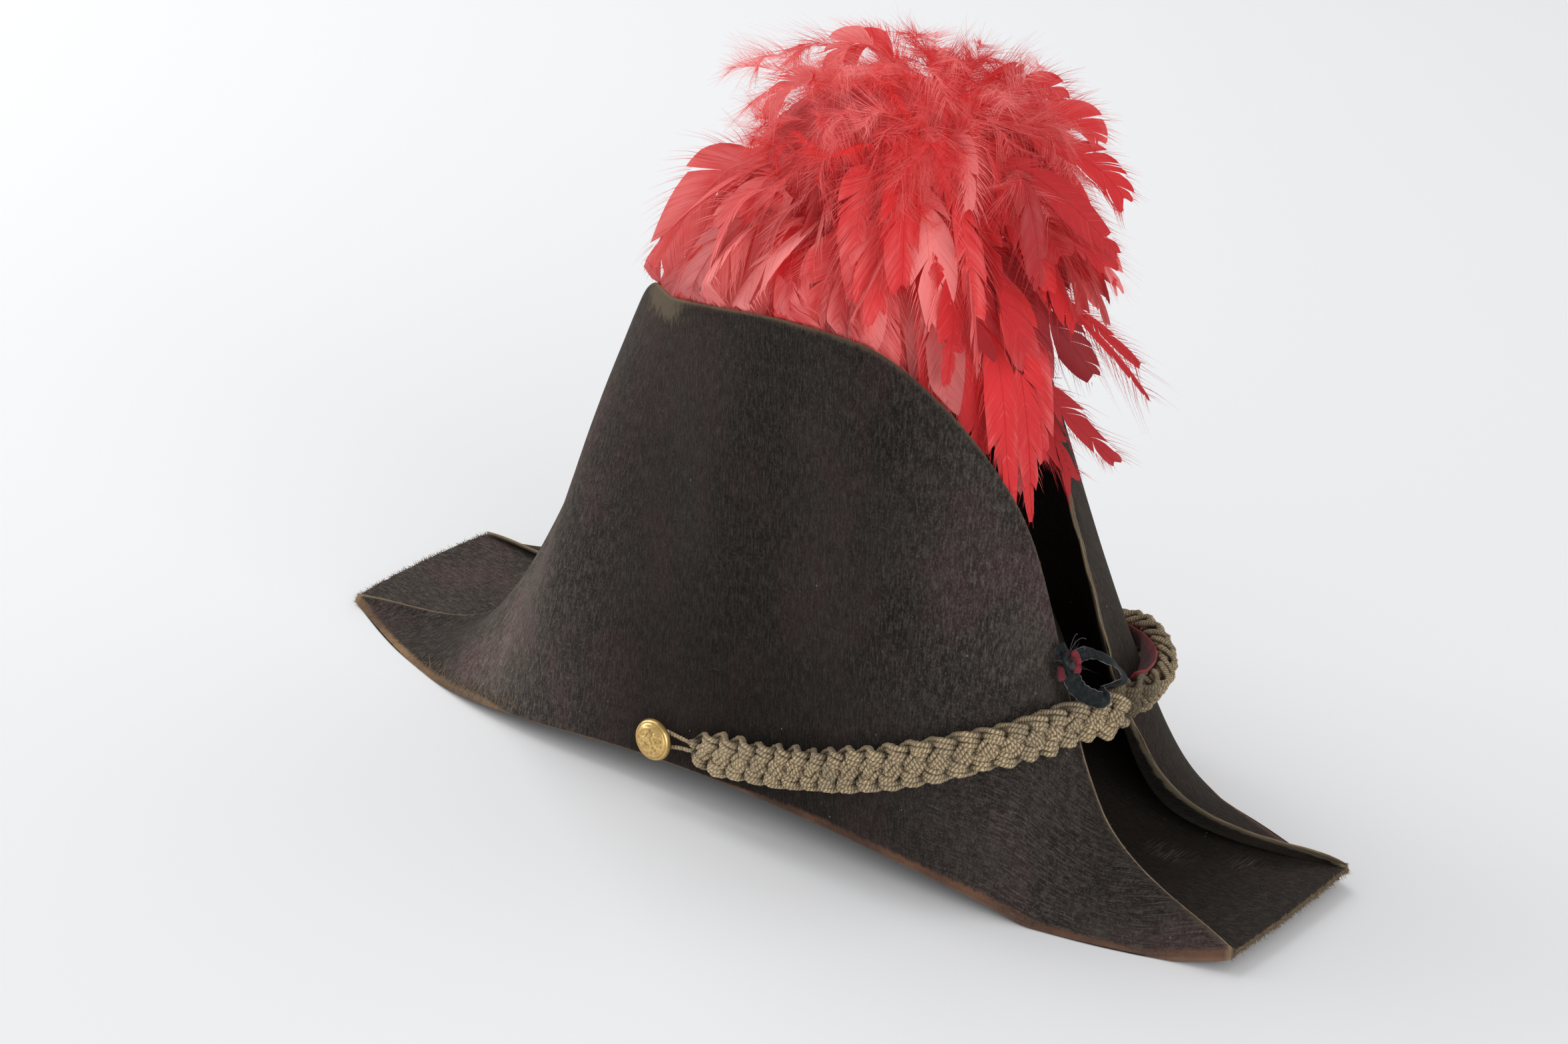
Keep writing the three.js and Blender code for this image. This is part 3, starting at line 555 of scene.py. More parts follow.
def brimPiece(material):
    a, b = crown["halfLength"] + crown["seam"], crown["halfWidth"] + crown["seam"]
    low, high = brimEdge(0.15), brimEdge(felt["wall"])
    angle = np.arctan2(low[:, 1] / b, low[:, 0] / a)
    inner = np.stack([a * np.cos(angle), b * np.sin(angle)], -1)
    share = closeEnds(brim["rings"])
    layers = []
    for edge, lift, turnUp in ((low, 0.0, brim["turnUp"]), (high, felt["wall"], 0.0)):
        at = inner[None] + (edge - inner)[None] * share[:, None, None]
        z = brimLevel(at[..., 0]) + lift + turnUp * ease(share, 0.985, 1.0)[:, None]
        layers.append(np.concatenate([at, z[..., None]], -1))
    loop = np.concatenate([layers[0], layers[1][::-1]], 0)
    wave = lumps(loop * [1, 1, 0], 38, 5.5) * 0.35
    loop[..., 2] += np.maximum(wave, 0) * (loop[..., 2] > 1.0)
    rows, count = loop.shape[:2]
    last = (rows - 1) * count
    faces = gridQuads(rows, count, True).tolist()
    faces += [[last + j, last + (j + 1) % count, (j + 1) % count, j] for j in range(count)]
    below = np.repeat([1.0, 0.0], brim["rings"])[:, None] * np.ones(count)
    toEdge = np.minimum(*(np.linalg.norm(loop[..., :2] - edge, axis=-1) for edge in (low, high)))
    x, y = loop[..., 0], loop[..., 1]
    cut = (np.abs(x) > brim["cutFrom"]) & (toEdge < 0.05)
    scuff = (around(x, 150, 6) * around(y, 11, 4) + around(x, 174, 5) * around(y, 23, 4)) * (1 - below)
    heap = Heap(*feltKeys)
    # painted light and shade: the brim is painted bright at the rear peak where light falls, dark at the
    # front in the hat's shade, lighter again by the front cut
    heap.add(loop, faces, run=y, rise=x, side=700 + below * 90, fold=np.where(below > 0, toEdge, farOff),
             rim=farOff, raw=cut * (0.4 + 0.6 * below), scuff=scuff * 0.8,
             shade=0.3 + 2.6 * (1 - ease(x, -120, 60)) + 1.1 * ease(x, 150, 204))
    rng = np.random.default_rng(brim["seed"])
    picks = np.argwhere(cut)
    picks = picks[rng.integers(0, len(picks), fray["cuts"])]
    bases = loop[picks[:, 0], picks[:, 1]]
    ways = endWays(np.sign(bases[:, 0]), rng)
    hairs(heap, bases, ways, brim["frayLong"], fray["tuft"], rng, **frayValues)
    heap.piece("brimFelt", material, "felt", "brim")


def crownPiece(material):
    count = crown["around"]
    angle = turns(count)
    share = np.sin(np.pi / 2 * np.linspace(0, 1, crown["rises"] + 1)[:-1])

    def ring(shrink, s):
        full = np.sqrt(1 - s**crown["fullness"])
        x = (crown["halfLength"] - shrink) * full * np.cos(angle)
        y = (crown["halfWidth"] - shrink) * full * np.sin(angle)
        return np.stack([x, y, (crown["height"] - shrink) * s + brimLevel(x) * (1 - s)], -1)

    heap = Heap(*feltKeys)
    run = np.append(np.tile(angle * crown["napRound"], len(share)), 0)
    rise = np.append(np.repeat(share * crown["napRise"], count), crown["napTop"])
    for shrink, way, zone in ((0, 1, 900), (felt["wall"], -1, 1100)):
        rings = np.array([ring(shrink, s) for s in share])
        rings[1:] += (lumps(rings[1:], 40, 1.7) * 0.5)[..., None] * unit(rings[1:] * [1, 1, 0.6])
        points = np.vstack([rings.reshape(-1, 3), [[0, 0, crown["height"] - shrink]]])
        faces = gridQuads(len(share), count, True)[:, ::way].tolist()
        faces += fan((len(share) - 1) * count, count, len(points) - 1, way)
        # painted shade: the crown is painted darker, as it sits in shade
        heap.add(points, faces, run=run, rise=rise, side=zone, fold=farOff, rim=farOff, shade=0.6)
    half = heap.count // 2
    heap.faces += [[j, half + j, half + (j + 1) % count, (j + 1) % count] for j in range(count)]  # lower edge
    heap.piece("crownFelt", material, "felt", "crown")


feltPaint = feltMaterial()
flap(1, "leftFlapFelt", feltPaint)
flap(-1, "rightFlapFelt", feltPaint)
brimPiece(feltPaint)
crownPiece(feltPaint)
print("felt done")


# the plaited cord

plait = {
    "tall": 16.4, "thick": 8.5, "period": 33.2, "wide": 3.6, "deep": 1.5, "step": 0.6, "sides": 7,
    "strands": 4, "yarns": 4, "yarn": 1.08, "knob": 1.45, "lay": 2.0, "pith": 2.6, "pithSides": 10,
    "pithBack": 1.9, "taper": 12, "buttonEnd": 0.42, "frontRound": 6.0, "frontEnd": 0.5, "tuckFrom": 30,
    "tuckTo": 15, "tuckDark": 0.8, "rightPhase": 0.4, "leftPhase": 1.9,
    "right": [(5.02, 25.5, 5.6), (5.75, 29.0, 5.6), (6.35, 34.5, 5.6), (6.9, 41.5, 5.6), (7.4, 48.5, 5.6),
              (7.85, 53.5, 5.8), (8.2, 56.0, 6.6), (8.6, 57.5, 7.6)],
    "left": [(5.02, 25.5, 6.8), (5.75, 28.5, 6.8), (6.35, 33.5, 6.8), (6.9, 40.5, 6.8), (7.4, 47.5, 6.9),
             (7.75, 51.5, 8.0)],
    "rightFront": [(136, -1, 59, 0)],
    "leftFront": [(120.6, 43.7, 55.5, 12), (129, 29, 56.5, 30), (132.5, 16.2, 58.4, 28),
                  (131.5, 5.5, 60.5, 22), (129.5, -5, 63.5, 10)],
}
cordKeys = ("along", "around", "tone", "sunk")


def cordMaterial():
    paint = Paint("cord", {"Specular IOR Level": 0.3, "Sheen Weight": 0.12, "Sheen Roughness": 0.4,
                           "Sheen Tint": (1.0, 0.9, 0.7, 1.0)})
    along, turn, sunk = paint.values("along", "around", "sunk")
    place = paint.place("along", "around", "tone")
    fibre = paint.grain(paint.scaled(place, (1.6, 1.2, 40.0)), 1.0, 4.0, 0.7)
    twist = paint.sine(turn * 2 - along * (4 * math.pi / plait["lay"]) + (fibre - 0.5) * 5)
    grain = paint.fade(twist + (fibre - 0.5) * 2.4, -0.9, 0.5)
    worn = paint.grain(paint.object(), 55.0, 3.0, 0.55)
    colour = paint.coats(
        paint.mix(paint.fade(fibre, 0.34, 0.68), (0.45, 0.335, 0.195), (0.77, 0.60, 0.370)),
        (paint.fade(worn, 0.44, 0.66) * 0.6, (0.40, 0.315, 0.215)),
        ((1 - grain) * 0.62, (0.085, 0.060, 0.036)),
        (paint.fade(along, 75.0, 15.0) * 0.25, (0.80, 0.63, 0.40)),  # painted light: lighter towards the button end, darker towards the front
        # painted shade between the strands and yarns, and darker towards the tucked end
        (sunk * 0.9, (0.030, 0.021, 0.014)))
    return paint.shade(Base_Color=colour, Roughness=0.60 + fibre * 0.3, Metallic=grain * 0.12,
                       Normal=paint.bump(grain + fibre * 0.4, 0.9, 0.0005))


def cordRoute(side, rows, front):  # gives the middle, out and up at lengths, and the whole length
    share = np.linspace(0, 1, 3 * (len(rows) - 1) + 1)
    columns = [evenAt([row[k] for row in rows], share) for k in range(3)]
    points, outs = (list(pair) for pair in zip(*(onFlap(side, *values) for values in zip(*columns))))
    ahead = [np.array(spot[:3], float) for spot in front]
    for i, (at, spot) in enumerate(zip(ahead, front)):
        before = ahead[i - 1] if i else points[-1]
        after = ahead[i + 1] if i + 1 < len(ahead) else at
        level = unit(np.array([after[1] - before[1], before[0] - after[0], 0.0]))
        level = level * (-1 if level[0] < 0 else 1)
        lean = math.radians(spot[3])
        outs.append(level * math.cos(lean) + np.array([0, 0, -math.sin(lean)]))
    points += ahead
    dense = np.linspace(0, 1, 2001)
    line = splineAt(points, dense)
    run = runAlong(line)
    facing = splineAt(outs, dense)
    along = unit(np.gradient(line, axis=0))
    out = unit(facing - along * dot(facing, along))
    up = unit(np.cross(out, along))
    up = up * np.where(up[:, 2:] < 0, -1, 1)

    def sample(length):
        length = np.clip(length, 0, run[-1])
        return pointAt(length, run, line), unit(pointAt(length, run, out)), unit(pointAt(length, run, up))

    return sample, run[-1]


def plaitStrands(heap, cord, length, seed, tucked=0.0):
    swing = plait["tall"] / 2 - plait["wide"]
    weave = plait["thick"] / 2 - plait["deep"]
    s = np.linspace(0, length, int(length / plait["step"]))
    at, out, up = cord(s)
    full = plait["buttonEnd"] + (1 - plait["buttonEnd"]) * np.sqrt(np.clip(s / plait["taper"], 0, 1))
    left = np.clip((length - s) / plait["frontRound"], 0, 1)
    full = full * (plait["frontEnd"] + (1 - plait["frontEnd"]) * np.sqrt(1 - (1 - left)**2))
    girth = full[:, None, None]
    sides = plait["pithSides"]
    pith, faces = sweep(at, full * plait["pith"], sides, out)  # a dark filling, painted shade seen between the strands
    body = pith[:-2].reshape(len(s), sides, 3)
    body = body + up[:, None] * dot(body - at[:, None], up[:, None])  # taller than thick
    pith[:-2] = (body - (out * plait["pithBack"])[:, None] * girth).reshape(-1, 3)
    heap.add(pith, faces, along=0, around=0, tone=seed, sunk=1)
    turn = turns(plait["sides"]) - np.pi / 2
    hidden = tucked * ease(s, length - plait["tuckFrom"], length - plait["tuckTo"])[:, None]
    dark = np.maximum(hidden, 0.55 * ease(np.abs(np.cos(turn)), 0.5, 1.0)[None])  # darker towards the tucked end, and painted shade on the yarns' sides where they press together
    for strand in range(plait["strands"]):
        phase = 2 * np.pi * s / plait["period"] + strand * np.pi / 2 + seed
        drift = 0.3 * np.sin(s / 9.0 + strand * 2.1 + seed) + 0.2 * np.sin(s / 3.7 + strand * 4.3)
        high = (swing * (0.97 + 0.04 * np.sin(s / 5.3 + seed)) * np.sin(phase) + drift) * full
        deep = weave * np.cos(3 * phase) * full
        middle = at + up * high[:, None] + out * deep[:, None]
        run = unit(np.gradient(middle, axis=0))
        first = unit(out - run * dot(out, run))
        second = np.cross(run, first)
        for yarn in range(plait["yarns"]):
            across = yarn / (plait["yarns"] - 1) * 2 - 1
            aside = across * (plait["wide"] - plait["yarn"])
            loose = 0.13 * np.sin(s / 2.3 + 2.4 * yarn + strand) + 0.1 * np.sin(s / 1.1 + 5 * yarn)
            lift = 0.75 * (1 - across**2) - 0.25 + 0.12 * np.sin(s / 1.7 + 1.9 * yarn + 3 * strand)
            line = middle + second * (full * (aside + loose))[:, None] + first * (full * lift)[:, None]
            travelled = runAlong(line)
            knobs = 0.13 * np.sin(2 * np.pi * travelled / plait["knob"] + 1.7 * yarn)[:, None]
            knobs = 1 + knobs + 0.09 * np.sin(travelled[:, None] * 2.9 + turn[None] + strand)
            oval = (np.cos(turn)[None, :, None] * second[:, None]
                    + 1.1 * np.sin(turn)[None, :, None] * first[:, None])
            ring = line[:, None] + girth * plait["yarn"] * oval * knobs[..., None]
            outward = dot(ring - at[:, None], out[:, None])[..., 0] / (plait["thick"] / 2)
            upward = dot(ring - at[:, None], up[:, None])[..., 0] / (plait["tall"] / 2)
            # painted shade deep in the plait, between the strands
            between = (1 - ease(np.abs(outward), 0.22, 0.70)) * (1 - ease(np.abs(upward), 0.60, 0.95))
            rows, count = ring.shape[:2]
            heap.add(ring, cappedTube(rows, count), along=np.repeat(travelled, count),
                     around=np.tile(turn, rows), tone=strand * 0.37 + yarn * 1.3 + seed,
                     sunk=np.maximum(dark, between))


rightCord, rightLength = cordRoute(-1, plait["right"], plait["rightFront"])
leftCord, leftLength = cordRoute(1, plait["left"], plait["leftFront"])
cordPaint = cordMaterial()
plaitHeap = Heap(*cordKeys)
plaitStrands(plaitHeap, rightCord, rightLength, plait["rightPhase"])
plaitStrands(plaitHeap, leftCord, leftLength, plait["leftPhase"], plait["tuckDark"])
plaitHeap.piece("braidPlait", cordPaint, "cord", "braid")


# the red cloth behind the far cord

backing = {"tall": 9.6, "thick": 1.0, "lift": 2.1, "tail": 16, "clear": 0.45, "droop": 2.2,
           "droopStart": (116, 124), "droopEnd": (152, 164), "spacing": 4.2, "steps": 150,
           "across": 10, "square": 0.55}


def clothMaterial():
    paint = Paint("redCloth", {"Specular IOR Level": 0.2, "Sheen Weight": 0.4, "Sheen Roughness": 0.5,
                               "Sheen Tint": (1.0, 0.6, 0.6, 1.0)})
    along, high = paint.values("along", "around")
    place = paint.place("along", "around", "tone")
    weft, warp = (paint.bands(place, way, 0.45, 1.0) for way in "XY")
    cloud = paint.grain(place, 0.2, 4.0, 0.6)
    scallop = paint.sine(along * (2 * math.pi / backing["spacing"]))
    colour = paint.coats(
        paint.mix(paint.fade(cloud, 0.3, 0.7), (0.20, 0.010, 0.016), (0.33, 0.022, 0.026)),
        (weft * warp * 0.5, (0.42, 0.05, 0.045)),
        # painted shade: below its top edge the cloth is painted near black, as in shadow under the cord
        (paint.fade(high + scallop * 0.7, 2.4, 1.5), (0.016, 0.009, 0.009)))
    return paint.shade(Base_Color=colour, Roughness=0.9, Normal=paint.bump(weft + warp, 0.4, 0.0003))


def backingPiece(material):
    s = np.linspace(backing["tail"], leftLength - backing["tail"], backing["steps"])
    at, out, up = leftCord(s)
    behind = -(plait["thick"] / 2 + backing["clear"] + backing["thick"] / 2)
    across, deep = flatOval(2 * backing["across"], backing["square"])
    high, deep = backing["tall"] / 2 * across, backing["thick"] / 2 * deep
    ripple = 0.15 * np.sin(s / 3.1) + 0.1 * np.sin(s / 1.7)
    hang = ease(s, *backing["droopStart"]) * (1 - ease(s, *backing["droopEnd"]))
    droop = backing["droop"] * hang[:, None] * (1 - ease(high, -4.8, 2.0))[None]  # towards the felt
    ring = (at[:, None] + up[:, None] * (backing["lift"] + high - 2 * droop)[..., None]
            + out[:, None] * (behind + deep[None, :] + ripple[:, None] - droop)[..., None])
    rows, count = ring.shape[:2]
    heap = Heap(*cordKeys)
    heap.add(ring, cappedTube(rows, count), along=np.repeat(s, count), around=np.tile(high, rows))
    heap.piece("backingCloth", material, "red_cloth", "braid_backing")


backingPiece(clothMaterial())
print("cord done")


# gilt buttons and the thin cords that hold the plait to them

button = {"station": 4.56, "height": 22.4, "radius": 7.9, "dome": 3.2, "rim": 1.5, "shank": 1.6, "stand": 4.4,
          "gap": 0.35, "around": 96, "rings": 46, "curve": 0.3, "relief": 0.24, "plain": (0.66, 0.80)}
buttonCord = {"radius": 0.9, "turns": 0.42, "ply": 0.48, "apart": 0.42, "sides": 7, "steps": 110}


def giltMaterial():
    paint = Paint("gilt", {"Specular IOR Level": 0.5})
    spot = paint.object()
    dull = paint.grain(spot, 420.0, 4.0, 0.6)
    pits = paint.cells(spot, 2600.0)
    crease = paint.values("crease")[0]
    colour = paint.coats(
        paint.mix(paint.fade(dull, 0.35, 0.7), (0.88, 0.62, 0.25), (0.72, 0.45, 0.15)),
        (crease * 0.75, (0.09, 0.05, 0.02)))
    return paint.shade(Base_Color=colour, Metallic=1.0 - crease * 0.35,
                       Roughness=0.24 + dull * 0.22 + crease * 0.25,
                       Normal=paint.bump(pits * 0.6 + dull * 0.4, 0.25, 0.0002))


def buttonPiece(side, name, material):
    seat, out = onFlap(side, button["station"], button["height"], button["gap"])
    first = unit(np.cross(np.array([0.0, 0.0, 1.0]), out))
    second = np.cross(out, first)
    count = button["around"]
    angle = turns(count)
    radius, stand, top = button["radius"], button["stand"], button["stand"] + button["rim"]
    # radius and height of the shank, the underside and the rim
    lower = [(button["shank"], 0.0), (button["shank"], stand), (radius - 0.7, stand),
             (radius - 0.15, stand + 0.35), (radius, stand + button["rim"] / 2), (radius - 0.15, top - 0.35)]
    rows = [np.stack([r + 0 * angle, h + 0 * angle], -1) for r, h in lower]
    creases = [np.full(count, 0.25)] * len(lower)
    flatRoot, fullRoot = math.sqrt(button["curve"]), math.sqrt(1 + button["curve"])
    for i in range(button["rings"]):
        q = 0.965 * (1 - i / button["rings"])
        dome = np.sqrt(1 + button["curve"] - (q / 0.98)**2) - flatRoot
        dome = button["dome"] * dome / (fullRoot - flatRoot)
        bead = 0.30 * ease(q, 0.86, 0.90) * (1 - ease(q, 0.94, 0.98))
        groove = ease(q, 0.80, 0.84) * (1 - ease(q, 0.85, 0.89))
        figured = 1 - ease(q, *button["plain"])
        spots = np.stack([q * np.cos(angle), q * np.sin(angle), 0 * angle], -1)
        relief = np.clip(lumps(spots, 0.13, 4.2) * 1.6 + lumps(spots, 0.06, 8.1) * 0.7, -1, 1) * figured
        height = top + dome * 0.9 + bead - 0.15 * groove + button["relief"] * relief
        rows.append(np.stack([radius * q + 0 * angle, height], -1))
        creases.append(np.clip(0.5 * groove + 0.75 * np.clip(0.1 - relief, 0, 1) * figured, 0, 1))
    ring = np.array(rows)
    spokes = first * np.cos(angle)[None, :, None] + second * np.sin(angle)[None, :, None]
    points = seat + out * ring[..., 1:2] + spokes * ring[..., :1]
    peak = seat + out * (ring[-1, 0, 1] + 0.02)
    total = len(ring) * count
    faces = gridQuads(len(ring), count, True).tolist() + fan(total - count, count, total)
    faces.append(list(range(count))[::-1])
    heap = Heap("crease")
    heap.add(np.vstack([points.reshape(-1, 3), peak]), faces, crease=np.append(np.concatenate(creases), 0))
    heap.piece(name + "Gilt", material, "gilt", name)


def buttonLoop(side, name, material):
    seat, out = onFlap(side, button["station"], button["height"], button["gap"])
    reach = (rightCord if side < 0 else leftCord)(np.array([0.0]))[0][0] - seat
    rise = reach @ out
    reach = reach - out * rise
    along = unit(reach)
    across = np.cross(out, along)
    length = np.linalg.norm(reach) - buttonCord["radius"]
    low = button["stand"] * 0.5
    turn = button["shank"] + buttonCord["radius"] + 1.5 * button["gap"]

    def spot(forward, sideways, height):
        return seat + out * height + along * forward + across * sideways

    def arm(way):
        return [spot(2, way * turn, low), spot(length * 0.6, way * 2, low + 1),
                spot(length + 2, way * 1.3, rise)]

    bend = [spot(-turn * 0.75, turn * 0.75, low), spot(-turn, 0, low), spot(-turn * 0.75, -turn * 0.75, low)]
    route = splineAt(arm(1)[::-1] + bend + arm(-1), np.linspace(0, 1, buttonCord["steps"]))
    run = unit(np.gradient(route, axis=0))
    beside = unit(np.cross(run, out))
    over = np.cross(beside, run)
    travelled = runAlong(route)
    lengths = np.append(np.repeat(travelled, buttonCord["sides"]), [0, travelled[-1]])
    heap = Heap(*cordKeys)
    for ply in range(2):
        twist = (2 * np.pi * travelled * buttonCord["turns"] + ply * np.pi)[:, None]
        line = route + buttonCord["apart"] * (np.cos(twist) * beside + np.sin(twist) * over)
        points, faces = sweep(line, buttonCord["ply"], buttonCord["sides"], beside)
        heap.add(points, faces, along=lengths, around=1.5 * ply, tone=0.4)
    heap.piece(name + "Cord", material, "cord", name)


giltPaint = giltMaterial()
for side, name in ((1, "left_button"), (-1, "right_button")):
    buttonPiece(side, name, giltPaint)
    buttonLoop(side, name + "_loop", cordPaint)
print("buttons done")


# the black ribbon between the flap's front edge and the cord

ribbon = {"width": 6, "thick": 0.5, "knotRadius": 4.4, "knotStation": 8.42, "knotHeight": 78,
          "knotShift": 2.4, "knotOff": 0.6, "tuckUp": 1.9,
          "knotTurns": [(1.0, 0.2, 0.3), (0.2, 0.5, 1.0), (-0.4, 1.0, 0.3)], "from": 0.935,
          "across": 9, "steps": 46, "square": 0.6, "seed": 5, "lint": 70, "round": 60, "sides": 10}
ribbonTabs = [  # worn ends that stand out of the knot: three points, width, how red
    ((1.9, 4.2, 2.6), (2.6, 0.5, 3.6), (2.4, -3.6, 2.8), 2.7, 1.0),
    ((-2.6, -1.6, 2.0), (-3.3, -3.6, 2.6), (-2.6, -6.2, 1.6), 2.9, 0.6),
    ((-3.4, 2.4, 1.2), (-2.8, 4.6, 1.8), (-0.6, 5.6, 1.4), 3.0, 0.0),
]


def ribbonMaterial():
    paint = Paint("ribbon", {"Specular IOR Level": 0.25, "Sheen Weight": 0.08, "Sheen Roughness": 0.35})
    edge, red = paint.values("edge", "red")
    place = paint.place("along", "around", "tone")
    rib = paint.bands(place, "X", 0.7, 0.6)
    worn = paint.grain(place, 0.5, 4.0, 0.65)
    colour = paint.coats(
        paint.mix(paint.fade(worn, 0.4, 0.75), (0.0050, 0.0075, 0.0080), (0.026, 0.033, 0.034)),
        (paint.fade(edge, 0.90, 0.99) * paint.fade(worn, 0.30, 0.60), (0.24, 0.22, 0.22)),
        (red * paint.fade(worn, 0.3, 0.55), (0.23, 0.024, 0.038)))
    return paint.shade(Base_Color=colour, Roughness=0.55 + worn * 0.25, Normal=paint.bump(rib, 0.35, 0.0003))


def ribbonStrip(heap, points, facings, width, seed, red=0.0):
    share = np.linspace(0, 1, ribbon["steps"])
    line = splineAt(points, share)
    run = unit(np.gradient(line, axis=0))
    wide = unit(np.cross(run, splineAt(facings, share)))
    deep = unit(np.cross(wide, run))
    side, off = flatOval(2 * ribbon["across"], ribbon["square"])
    travelled = runAlong(line)
    curl = 0.5 * np.sin(travelled / 2.9 + seed)[:, None] * side[None]**2
    curl = curl + 0.3 * np.sin(travelled / 1.6 + 2 * seed)[:, None] * side[None]
    pinch = width / 2 * (1 - 0.2 * (2 * share - 1)**6 + 0.05 * np.sin(travelled * 2.1 + 3 * seed))
    ring = (line[:, None] + wide[:, None] * (pinch[:, None] * side[None])[..., None]
            + deep[:, None] * (ribbon["thick"] / 2 * off[None] + curl)[..., None])
    rows, count = ring.shape[:2]
    heap.add(ring, cappedTube(rows, count), along=np.repeat(travelled, count), tone=seed, red=red,
             around=np.tile(side * width / 2, rows), edge=np.tile(np.abs(side), rows))


def ribbonPiece(material):
    rng = np.random.default_rng(ribbon["seed"])
    ahead, rise, near = viewRight, viewUp, viewNear
    off = ribbon["knotRadius"] + ribbon["knotOff"]
    knot = onFlap(-1, ribbon["knotStation"], ribbon["knotHeight"], off)[0] + ribbon["knotShift"] * ahead
    at, up = (v[0] for v in rightCord(np.array([ribbon["from"] * rightLength]))[::2])
    tuck = at + up * (plait["tall"] / 2 + ribbon["tuckUp"])
    heap = Heap("along", "around", "tone", "edge", "red")

    def spots(*offsets):  # points by their distances to the right, up and near as the camera sees the knot
        return [knot + a * ahead + b * rise + c * near for a, b, c in offsets]

    lower = spots((0, -3, 0.5), (1.6, -8, 1.5), (5.5, -11.5, 2.0), (10.5, -12.8, 1.2)) + [tuck]
    ribbonStrip(heap, lower, [near - a * rise for a in (0, 0.2, 0.5, 0.2, 0)], ribbon["width"] * 1.05, 0.3)
    upper = spots((1.5, 1, -0.5), (6, 3.2, -1), (11, 2.6, -2), (16, -1.2, -3), (18.6, -6, -2.6))
    upper.append(tuck + 1.5 * ahead + rise - near)
    facings = [near + 0.2 * rise, near + 0.4 * rise, near + 1.2 * rise, ahead + rise + 0.5 * near,
               ahead + 0.5 * near, ahead - rise + 0.4 * near]
    ribbonStrip(heap, upper, facings, ribbon["width"] * 0.85, 1.4)
    angle = np.linspace(0, 2 * np.pi, ribbon["round"])[:, None]
    for i, axis in enumerate(ribbon["knotTurns"]):  # crumpled turns make the knot
        axis = unit(np.array(axis))
        first = unit(np.cross(axis, [0.1, 0.9, 0.2]))
        second = np.cross(axis, first)
        size = ribbon["knotRadius"] - 1.9 - 0.3 * i + 0.5 * np.sin(3 * angle + i)
        line = knot + size * (np.cos(angle) * first + np.sin(angle) * second)
        line = line + rise * dot(line - knot, rise) * 0.35
        points, faces = sweep(line, 1.35 + 0.35 * np.sin(5 * angle[:, 0] + i), ribbon["sides"])
        heap.add(points, faces, tone=i, edge=0.93 * (i == 1), red=0.25 * (i == 2),
                 along=np.append(np.repeat(np.arange(ribbon["round"]) * 0.4, ribbon["sides"]), [0, 0]),
                 around=np.append(np.tile(np.arange(ribbon["sides"]) * 0.4, ribbon["round"]), [0, 0]))
    for i, (a, b, c, width, red) in enumerate(ribbonTabs):
        ribbonStrip(heap, spots(a, b, c), [near + 0.3 * ahead, near - 0.3 * ahead, near], width, 4.0 + i, red)
    lint = ribbon["lint"]
    ways = unit(rng.normal(0, 1, (lint, 3)) + rise * 0.7 + near * 0.5)
    hairs(heap, knot + ways * 3.2, ways, 4.6, 0.07, rng, edge=np.repeat(rng.random(lint) < 0.3, 6) * 0.97,
          red=np.repeat(rng.random(lint) < 0.15, 6) * 1.0)
    for i, end in enumerate(spots((5.5, 4.5, 1.0), (3.5, 9.5, 0.5), (6.5, 8.0, 0.0))):  # long pale threads
        corners = [knot, knot + 5 * rise, end + (2 - 2 * i) * ahead + 2 * rise, end]
        points, faces = sweep(bezierAt(corners, np.linspace(0, 1, 16)), 0.10, 4)
        heap.add(points, faces, along=0.5 * i, edge=1)
    heap.piece("ribbonTie", material, "ribbon", "ribbon_tie")


ribbonPiece(ribbonMaterial())
print("ribbon done")


# the plume and its stem

def rowsOf(keys, *rows):  # a dictionary of settings for each row
    return [dict(zip(keys, row)) for row in rows]


# deep and right: the heights, and the distances to the camera's right, over which feathers are painted darker
# as painted shade
plume = {"x": 18, "y": 2, "headHeight": 226, "headLong": 46, "headAcross": 34, "headTall": 37, "clear": 1.0,
         "seed": 11, "ceiling": 266, "ceilingSoft": 11, "wallTop": 190, "deep": (150, 202), "right": (38, 74)}
plumeTiers = rowsOf(
    ("feathers", "ahead", "aside", "root", "crest", "tip", "lift", "long", "across", "width", "core",
     "fluffy", "dim"),
    # the last column is painted shade, darker for the low tiers
    (40, 0, 0, 206, 210, 158, 34, 77, 44, 24, 0.75, 0.08, 0.26),
    (38, 4, 3, 218, 230, 182, 26, 80, 51, 25, 0.74, 0.10, 0.12),
    (32, 10, 8, 230, 247, 204, 12, 71, 54, 23, 0.69, 0.18, 0.04),
    (16, 15, 11, 238, 257, 226, 0, 52, 45, 20, 0.52, 0.50, 0.0),
    (8, 17, 12, 242, 266, 256, 0, 27, 24, 17, 0.34, 0.80, 0.0))
plumeFalls = rowsOf(  # pairs that hang down the front
    ("bearing", "reach", "root", "crest", "tip", "width", "tone"),
    (-4, 80, 214, 212, 117, 19, 0.0),
    (-10, 73, 214, 216, 128, 21, 0.6),
    (2, 76, 212, 212, 136, 22, 0.1),
    (-17, 66, 212, 214, 142, 24, 0.1),
    (9, 70, 212, 212, 150, 24, 0.3),
    (-25, 62, 212, 214, 150, 24, 0.2))
